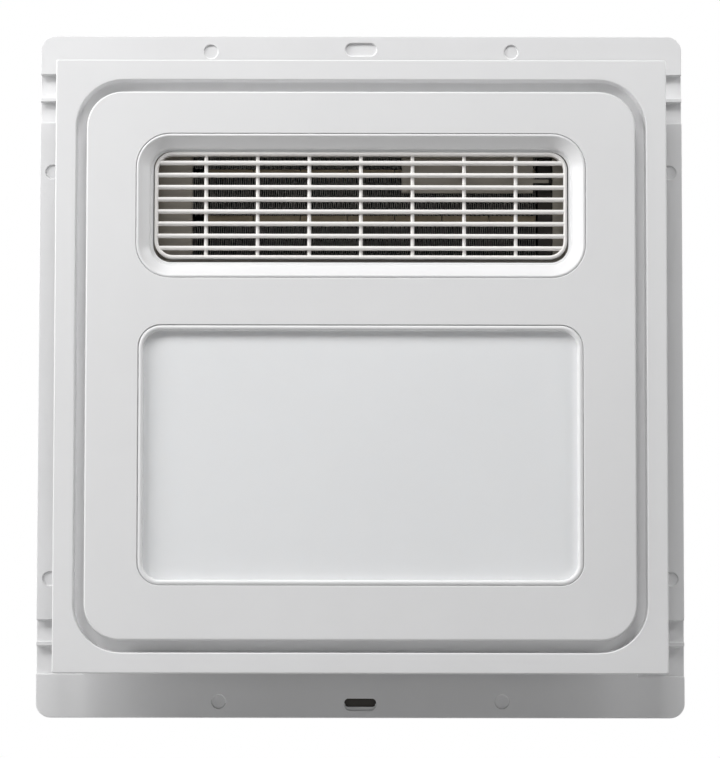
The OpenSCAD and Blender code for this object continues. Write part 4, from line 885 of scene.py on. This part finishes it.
def bar_section(half, front, nose, seg, tail):
    """A bar's section as (y, across): a round nose towards the room, then the points of its tail."""
    turns = [math.radians(-90 + 90 * i / seg) for i in range(2 * seg + 1)]
    section = [(front + nose - nose * math.cos(a), half * math.sin(a)) for a in turns]
    return section + [(y, half * share) for y, share in tail]


def add_bar(bm, section, start, end, across):
    """A bar of this section from (x, z) to (x, z), with its width along the direction across."""
    ends = []
    for x, z in (start, end):
        ends.append(add_ring(bm, [(x + across[0] * d, y, z + across[1] * d) for y, d in section]))
    bridge(bm, *ends)
    bm.faces.new(ends[0][::-1])
    bm.faces.new(ends[1])


def inside_x(z, w, h, r):
    """Half width of a round-cornered rectangle at height z from its centre."""
    z = abs(z)
    if z <= h / 2 - r:
        return w / 2
    dz = min(z - (h / 2 - r), r)
    return w / 2 - r + math.sqrt(max(r * r - dz * dz, 0.0))


def make_grille():
    bm = bmesh.new()
    rings = []

    def at(d, y):
        size = (GRILLE_W - 2 * d, GRILLE_H - 2 * d, GRILLE_R - d)
        rings.append(add_ring(bm, corner_ring(*size, y, GRILLE_Z, GRILLE_SEG)))

    nose_y = GRILLE_FRONT + RIM_NOSE
    at(0.25, GRILLE_BACK)
    at(0.0, GRILLE_BACK - 0.7)
    at(0.0, nose_y)
    for i in range(1, 8):
        a = math.radians(180 * i / 8)
        at(RIM_HALF * (1 - math.cos(a)), nose_y - RIM_NOSE * math.sin(a))
    at(2 * RIM_HALF, nose_y)
    at(2.7, GRILLE_BACK - 0.4)
    at(2.3, GRILLE_BACK)
    for a, b in zip(rings, rings[1:] + rings[:1]):
        bridge(bm, a, b)
    back = GRILLE_BACK - 0.9
    tail = ((back - 0.3, 0.78), (back, 0.6), (back, -0.6), (back - 0.3, -0.78))
    blade = bar_section(BLADE_HALF, GRILLE_FRONT + 0.25, BLADE_HALF, 5, tail)
    for i in range(BLADES):
        z = (i - (BLADES - 1) / 2) * BLADE_PITCH
        reach = inside_x(abs(z) + BLADE_HALF, GRILLE_W, GRILLE_H, GRILLE_R) - 0.9
        add_bar(bm, blade, (-reach, GRILLE_Z + z), (reach, GRILLE_Z + z), (0, 1))
    back = GRILLE_BACK - 0.2
    rib = bar_section(RIB_HALF, GRILLE_FRONT + 2.2, 1.3, 4, ((back, 0.8), (back, -0.8)))
    reach = GRILLE_H / 2 - 1.2
    for i in range(RIBS):
        x = (i - (RIBS - 1) / 2) * RIB_PITCH
        add_bar(bm, rib, (x, GRILLE_Z - reach), (x, GRILLE_Z + reach), (1, 0))
    bmesh.ops.recalc_face_normals(bm, faces=bm.faces)
    ob = to_object("grille_guard", bm)
    sharpen(ob, CRISP_DEGREES)
    finish_piece(ob, "outlet_grille")


make_grille()


# heater fins at their real pitch, with the small faults of folded foil
FIN_PITCH = 1.56
FIN_SHIFT = 0.05
FIN_SAG = 0.25
FIN_HALF_MIN = 0.23
FIN_HALF_MAX = 0.27
FIN_INSET = 0.05
FIN_FRONT_SPREAD = 0.25
FIN_CURVE = 0.55
FIN_END_GAP = 0.35
LAYER_GAP = 0.25
STRIP_H = 4.9
STRIP_GAPS = 3
LAYERS_BELOW = 3


def side_points(line, i):
    """The two sides of a thin strip at point i of its line of (x, z, half thickness)."""
    ahead = line[min(i + 1, len(line) - 1)]
    behind = line[max(i - 1, 0)]
    run = Vector((ahead[0] - behind[0], ahead[1] - behind[1]))
    run.normalize()
    x, z, t = line[i]
    return [(x + run.y * t * s, z - run.x * t * s) for s in (-1, 1)]


def foil_line(rng, x0, x1, bottom, crest):
    """A foil that runs up and down between two strips, with loose loops at each turn."""
    legs = int((x1 - x0) / FIN_PITCH)
    step = (x1 - x0 - 2 * FIN_END_GAP) / legs
    line = []
    for i in range(legs):
        x = x0 + FIN_END_GAP + i * step + rng.uniform(-FIN_SHIFT, FIN_SHIFT)
        foot, head = bottom + LAYER_GAP, crest - LAYER_GAP
        if i % 2:
            foot, head = head, foot
        way = 1 if head > foot else -1
        sag = rng.uniform(0.0, FIN_SAG)
        half = rng.uniform(FIN_HALF_MIN, FIN_HALF_MAX)
        crown = head - way * sag * 0.4
        line.append((x - 0.05, foot + way * FIN_CURVE, half))
        line.append((x + 0.05, head - way * (FIN_CURVE + sag), half))
        line.append((x + 0.30 * step, crown, half))
        line.append((x + 0.72 * step, crown, half))
    return line


def fin_layers(foot, top):
    """Low and high z of the seven layers: one above the strips, three between and three below."""
    _, _, tiles_foot, _, _, tiles_top = cad("ptc_elements")
    highest = tiles_top - STRIP_H
    between = (tiles_top - tiles_foot - 2 * STRIP_H) / STRIP_GAPS
    below = (tiles_foot - foot) / LAYERS_BELOW
    layers = [(tiles_top, top)]
    layers += [(highest - (i + 1) * between, highest - i * between) for i in range(STRIP_GAPS)]
    layers += [(tiles_foot - (i + 1) * below, tiles_foot - i * below) for i in range(LAYERS_BELOW)]
    return layers


def make_fins():
    """Folded foil in layers above, between and below the ceramic strips."""
    rng = random.Random(7)
    left, front, foot, right, back, top = cad("ptc_fins")
    bm = bmesh.new()
    for bottom, crest in fin_layers(foot, top):
        line = foil_line(rng, left, right, bottom, crest)
        rows = []
        for y in (front + FIN_INSET + rng.uniform(0.0, FIN_FRONT_SPREAD), back - FIN_INSET):
            rows.append([[bm.verts.new((x * MM, y * MM, z * MM)) for x, z in side_points(line, i)]
                         for i in range(len(line))])
        near, far = rows
        for i in range(len(line) - 1):
            a, b = near[i], near[i + 1]
            c, d = far[i], far[i + 1]
            bm.faces.new((a[0], a[1], b[1], b[0]))
            bm.faces.new((c[0], d[0], d[1], c[1]))
            bm.faces.new((a[0], b[0], d[0], c[0]))
            bm.faces.new((a[1], c[1], d[1], b[1]))
        bm.faces.new((near[0][0], far[0][0], far[0][1], near[0][1]))
        bm.faces.new((near[-1][0], near[-1][1], far[-1][1], far[-1][0]))
    bmesh.ops.recalc_face_normals(bm, faces=bm.faces)
    ob = to_object("heater_fins", bm, False)
    finish_piece(ob, "ptc_fins")


make_fins()


# steel housing: pressed grooves and ribs, folded hem and rivets
# its box isn't rounded, because that would put the hem and the back in one plane
HOUSE_LOW, HOUSE_HIGH = (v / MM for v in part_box("housing_shell"))
HOUSE_W = HOUSE_HIGH.x - HOUSE_LOW.x
HOUSE_H = HOUSE_HIGH.z - HOUSE_LOW.z
HOUSE_RIGHT = HOUSE_HIGH.x
HOUSE_TOP = HOUSE_HIGH.z
HOUSE_BACK = HOUSE_HIGH.y
PRESS_R = 3.4
PRESS_DEPTH = 1.05
PRESS_Y = HOUSE_BACK + PRESS_R - PRESS_DEPTH
LOOP_EDGE = 35.0
LOOP_R = 26.0
PRESSED_LINES = ((-105, -118, -105, 118), (105, -118, 105, 118),
                 (-62, -96, 62, -96), (-62, 96, 62, 96), (-62, 0, 62, 0))
HEM_W = 13.0
HEM_T = 0.9
HEM_R = 1.2
RIB_R = 4.6
RIB_SUNK = 2.2
RIVET_R = 2.6
RIVET_H = 1.1
RIVET_PITCH_X = 106.0
RIVET_PITCH_Z = 112.0


def groove_loop():
    """A round bar bent to a frame, to be sunk into the back of the housing."""
    bm = bmesh.new()
    w = HOUSE_W - 2 * LOOP_EDGE
    h = HOUSE_H - 2 * LOOP_EDGE
    rings = []
    for i in range(12):
        a = math.radians(30 * i)
        d = PRESS_R * math.cos(a)
        y = PRESS_Y + PRESS_R * math.sin(a)
        rings.append(add_ring(bm, corner_ring(w - 2 * d, h - 2 * d, LOOP_R - d, y, 0, 8)))
    for a, b in zip(rings, rings[1:] + rings[:1]):
        bridge(bm, a, b)
    bmesh.ops.recalc_face_normals(bm, faces=bm.faces)
    return to_object("groove_loop", bm, False)


def round_bar(bm, start, end, radius, seg=12):
    """A bar with ball ends from start to end, in millimetres."""
    start, end = Vector(start), Vector(end)
    along = (end - start).normalized()
    side = along.orthogonal().normalized()
    up = along.cross(side)
    rings = []
    for centre, angles in ((start, range(-80, 1, 20)), (end, range(0, 81, 20))):
        for degrees in angles:
            a = math.radians(degrees)
            middle = centre + along * radius * math.sin(a)
            reach = radius * math.cos(a)
            rings.append([bm.verts.new((middle + (side * math.cos(b) + up * math.sin(b)) * reach) * MM)
                          for b in (2 * math.pi * k / seg for k in range(seg))])
    for a, b in zip(rings, rings[1:]):
        bridge(bm, a, b)
    bm.faces.new(rings[0])
    bm.faces.new(rings[-1])


def groove_bars():
    """The straight pressed lines on the back, each from (x, z) to (x, z)."""
    bm = bmesh.new()
    for x0, z0, x1, z1 in PRESSED_LINES:
        round_bar(bm, (x0, PRESS_Y, z0), (x1, PRESS_Y, z1), PRESS_R)
    bmesh.ops.recalc_face_normals(bm, faces=bm.faces)
    return to_object("groove_bars", bm, False)


def dome(bm, centre, normal, radius, height, seg=14):
    """A low rivet head with a small flat skirt."""
    centre, normal = Vector(centre), Vector(normal)
    side = normal.orthogonal().normalized()
    up = normal.cross(side)
    rings = []
    for r, h in ((1.0, 0.0), (1.0, 0.22), (0.90, 0.42), (0.70, 0.72), (0.42, 0.92), (0.16, 1.0)):
        rings.append([bm.verts.new((centre + (side * math.cos(b) + up * math.sin(b)) * r * radius
                                    + normal * h * height) * MM)
                      for b in (2 * math.pi * k / seg for k in range(seg))])
    for a, b in zip(rings, rings[1:]):
        bridge(bm, a, b)
    bm.faces.new(rings[0])
    bm.faces.new(rings[-1])


def make_hem():
    """The back plate's edge, folded over the four sides of the housing."""
    bm = bmesh.new()
    rings = []
    for out, above in ((0.0, HEM_W), (HEM_T * 0.7, HEM_W), (HEM_T, HEM_W - 0.3), (HEM_T, 1.3),
                       (HEM_T * 0.8, 0.6), (HEM_T * 0.2, 0.12), (-0.6, 0.0), (-1.6, 0.0), (-1.6, 0.35)):
        size = (HOUSE_W + 2 * out, HOUSE_H + 2 * out, HEM_R + out)
        rings.append(add_ring(bm, corner_ring(*size, HOUSE_BACK - above, 0, 4)))
    for a, b in zip(rings, rings[1:] + rings[:1]):
        bridge(bm, a, b)
    bmesh.ops.recalc_face_normals(bm, faces=bm.faces)
    ob = to_object("housing_hem", bm)
    sharpen(ob, 40)
    finish_piece(ob, None, "housing", "zinc_sheet")


def make_ribs():
    """Half-round stiffening ribs on the sides, the top and the bottom."""
    bm = bmesh.new()
    side = HOUSE_RIGHT - RIB_SUNK
    top = HOUSE_TOP - RIB_SUNK
    for s in (-1, 1):
        round_bar(bm, (s * side, 152, -150), (s * side, 152, 150), RIB_R)
        round_bar(bm, (s * side, 100, -84), (s * side, 100, 40), RIB_R)
        round_bar(bm, (s * 84, 110, top), (s * 158, 110, top), RIB_R)
    for y in (50, 100, 150):
        round_bar(bm, (-140, y, -top), (140, y, -top), RIB_R)
    bmesh.ops.recalc_face_normals(bm, faces=bm.faces)
    ob = to_object("housing_ribs", bm)
    sharpen(ob, 60)
    finish_piece(ob, None, "housing", "zinc_sheet")


def make_rivets():
    """Four rivets through each side of the hem."""
    bm = bmesh.new()
    y = HOUSE_BACK - HEM_W / 2
    for s in (-1, 1):
        for k in (-1.5, -0.5, 0.5, 1.5):
            dome(bm, (s * (HOUSE_RIGHT + HEM_T), y, k * RIVET_PITCH_Z), (s, 0, 0), RIVET_R, RIVET_H)
            dome(bm, (k * RIVET_PITCH_X, y, s * (HOUSE_TOP + HEM_T)), (0, 0, s), RIVET_R, RIVET_H)
    bmesh.ops.recalc_face_normals(bm, faces=bm.faces)
    ob = to_object("housing_rivets", bm)
    sharpen(ob, CRISP_DEGREES)
    finish_piece(ob, None, "housing", "screw_steel")


make_hem()
make_ribs()
make_rivets()
rounded_copy("housing_shell", 0.8, 2, (groove_loop(), groove_bars()))


# flange, with its side channels at the depth and height the photo shows
# its CAD box starts at the sockets, so the face is named here
FLANGE_FACE = -8.0
CHANNEL_DEPTH = 3.0
CHANNEL_FLOOR = -2.8
CHANNEL_EDGES = ((213.8, 215.2), (196.3, 198.6), (193.7, 195.6), (178.4, 180.4),
                 (-178.4, -174.1), (-193.7, -189.3), (-196.3, -192.5), (-213.8, -212.3))
# the lowest edge on the right stays lower and shows under the panel
LOWEST_RIGHT = -213.7


def move_channels(bm):
    """Each channel edge goes from its height in the CAD to its height in the photo."""
    for v in bm.verts:
        down = v.co.y / MM - FLANGE_FACE
        if down < -0.01 or down > CHANNEL_DEPTH + 0.01:
            continue
        for old, new in CHANNEL_EDGES:
            if abs(v.co.z / MM - old) < 0.02:
                right_end = old == CHANNEL_EDGES[-1][0] and v.co.x > 0
                v.co.z = (LOWEST_RIGHT if right_end else new) * MM
                if down > CHANNEL_DEPTH - 0.01:
                    v.co.y = CHANNEL_FLOOR * MM
                break


rounded_copy("base_flange", 0.55, 3, (), move_channels)


# moulded and folded parts with rolled edges
for node, width, seg in (
        ("hanging_brackets", 0.5, 2), ("duct_collar", 0.4, 2),
        ("heater_duct", 0.4, 2), ("heater_left_bracket", 0.3, 2), ("heater_right_bracket", 0.4, 2),
        ("heater_shield", 0.25, 2), ("ptc_elements", 0.25, 2), ("light_tray", 0.4, 2),
        ("light_straps", 0.4, 2), ("light_driver", 1.2, 3), ("control_box", 0.7, 2),
        ("control_lid", 0.5, 2), ("terminal_box", 0.4, 2), ("terminal_lid", 0.4, 2),
        ("terminal_block", 0.5, 2), ("switch_damper", 0.4, 2), ("damper_seals", 0.8, 2),
        ("outlet_chamber", 0.4, 2), ("fan_scroll", 0.6, 2), ("scroll_cover", 0.5, 2)):
    rounded_copy(node, width, seg)


# floor
FLOOR_Z = -0.46
FLOOR_HALF = 24.0
FLOOR_GREY = 0.385
FLOOR_SPREAD = 0.01
GLOW_NEAR = 0.5
GLOW_FAR = 2.6
GLOW_LEAST = 0.55


def make_floor():
    """A wide pale floor. Seen directly it fades to white away from the object, and keeps its shadow."""
    bm = bmesh.new()
    bmesh.ops.create_grid(bm, x_segments=48, y_segments=48, size=FLOOR_HALF)
    for v in bm.verts:
        v.co.z = FLOOR_Z
    ob = to_object("floor", bm)
    dark, light = FLOOR_GREY - FLOOR_SPREAD, FLOOR_GREY + FLOOR_SPREAD
    m = Mat("floor_look", (FLOOR_GREY, FLOOR_GREY, FLOOR_GREY), 0.7)
    m.set_colour(m.tint(m.noise(3, 3, 0.6), (dark, dark, dark), (light, light, light)))
    m.bump(m.noise(90, 3, 0.6), 0.0002, 0.2)
    away = m.t.nodes.new("ShaderNodeVectorMath")
    away.operation = "LENGTH"
    m.t.links.new(m.coord.outputs["Object"], away.inputs[0])
    share = m.ramp(away.outputs["Value"], GLOW_NEAR, GLOW_FAR, GLOW_LEAST, 1.0)
    glow = m.t.nodes.new("ShaderNodeEmission")
    glow.inputs["Color"].default_value = WHITE
    glow.inputs["Strength"].default_value = 1.0
    weight = m.t.nodes.new("ShaderNodeMath")
    weight.operation = "MULTIPLY"
    m.t.links.new(direct_look(m.t), weight.inputs[0])
    m.t.links.new(share, weight.inputs[1])
    mix = m.t.nodes.new("ShaderNodeMixShader")
    m.t.links.new(weight.outputs[0], mix.inputs[0])
    m.t.links.new(m.p.outputs[0], mix.inputs[1])
    m.t.links.new(glow.outputs[0], mix.inputs[2])
    m.t.links.new(mix.outputs[0], m.out.inputs["Surface"])
    ob.data.materials.append(m.m)


make_floor()
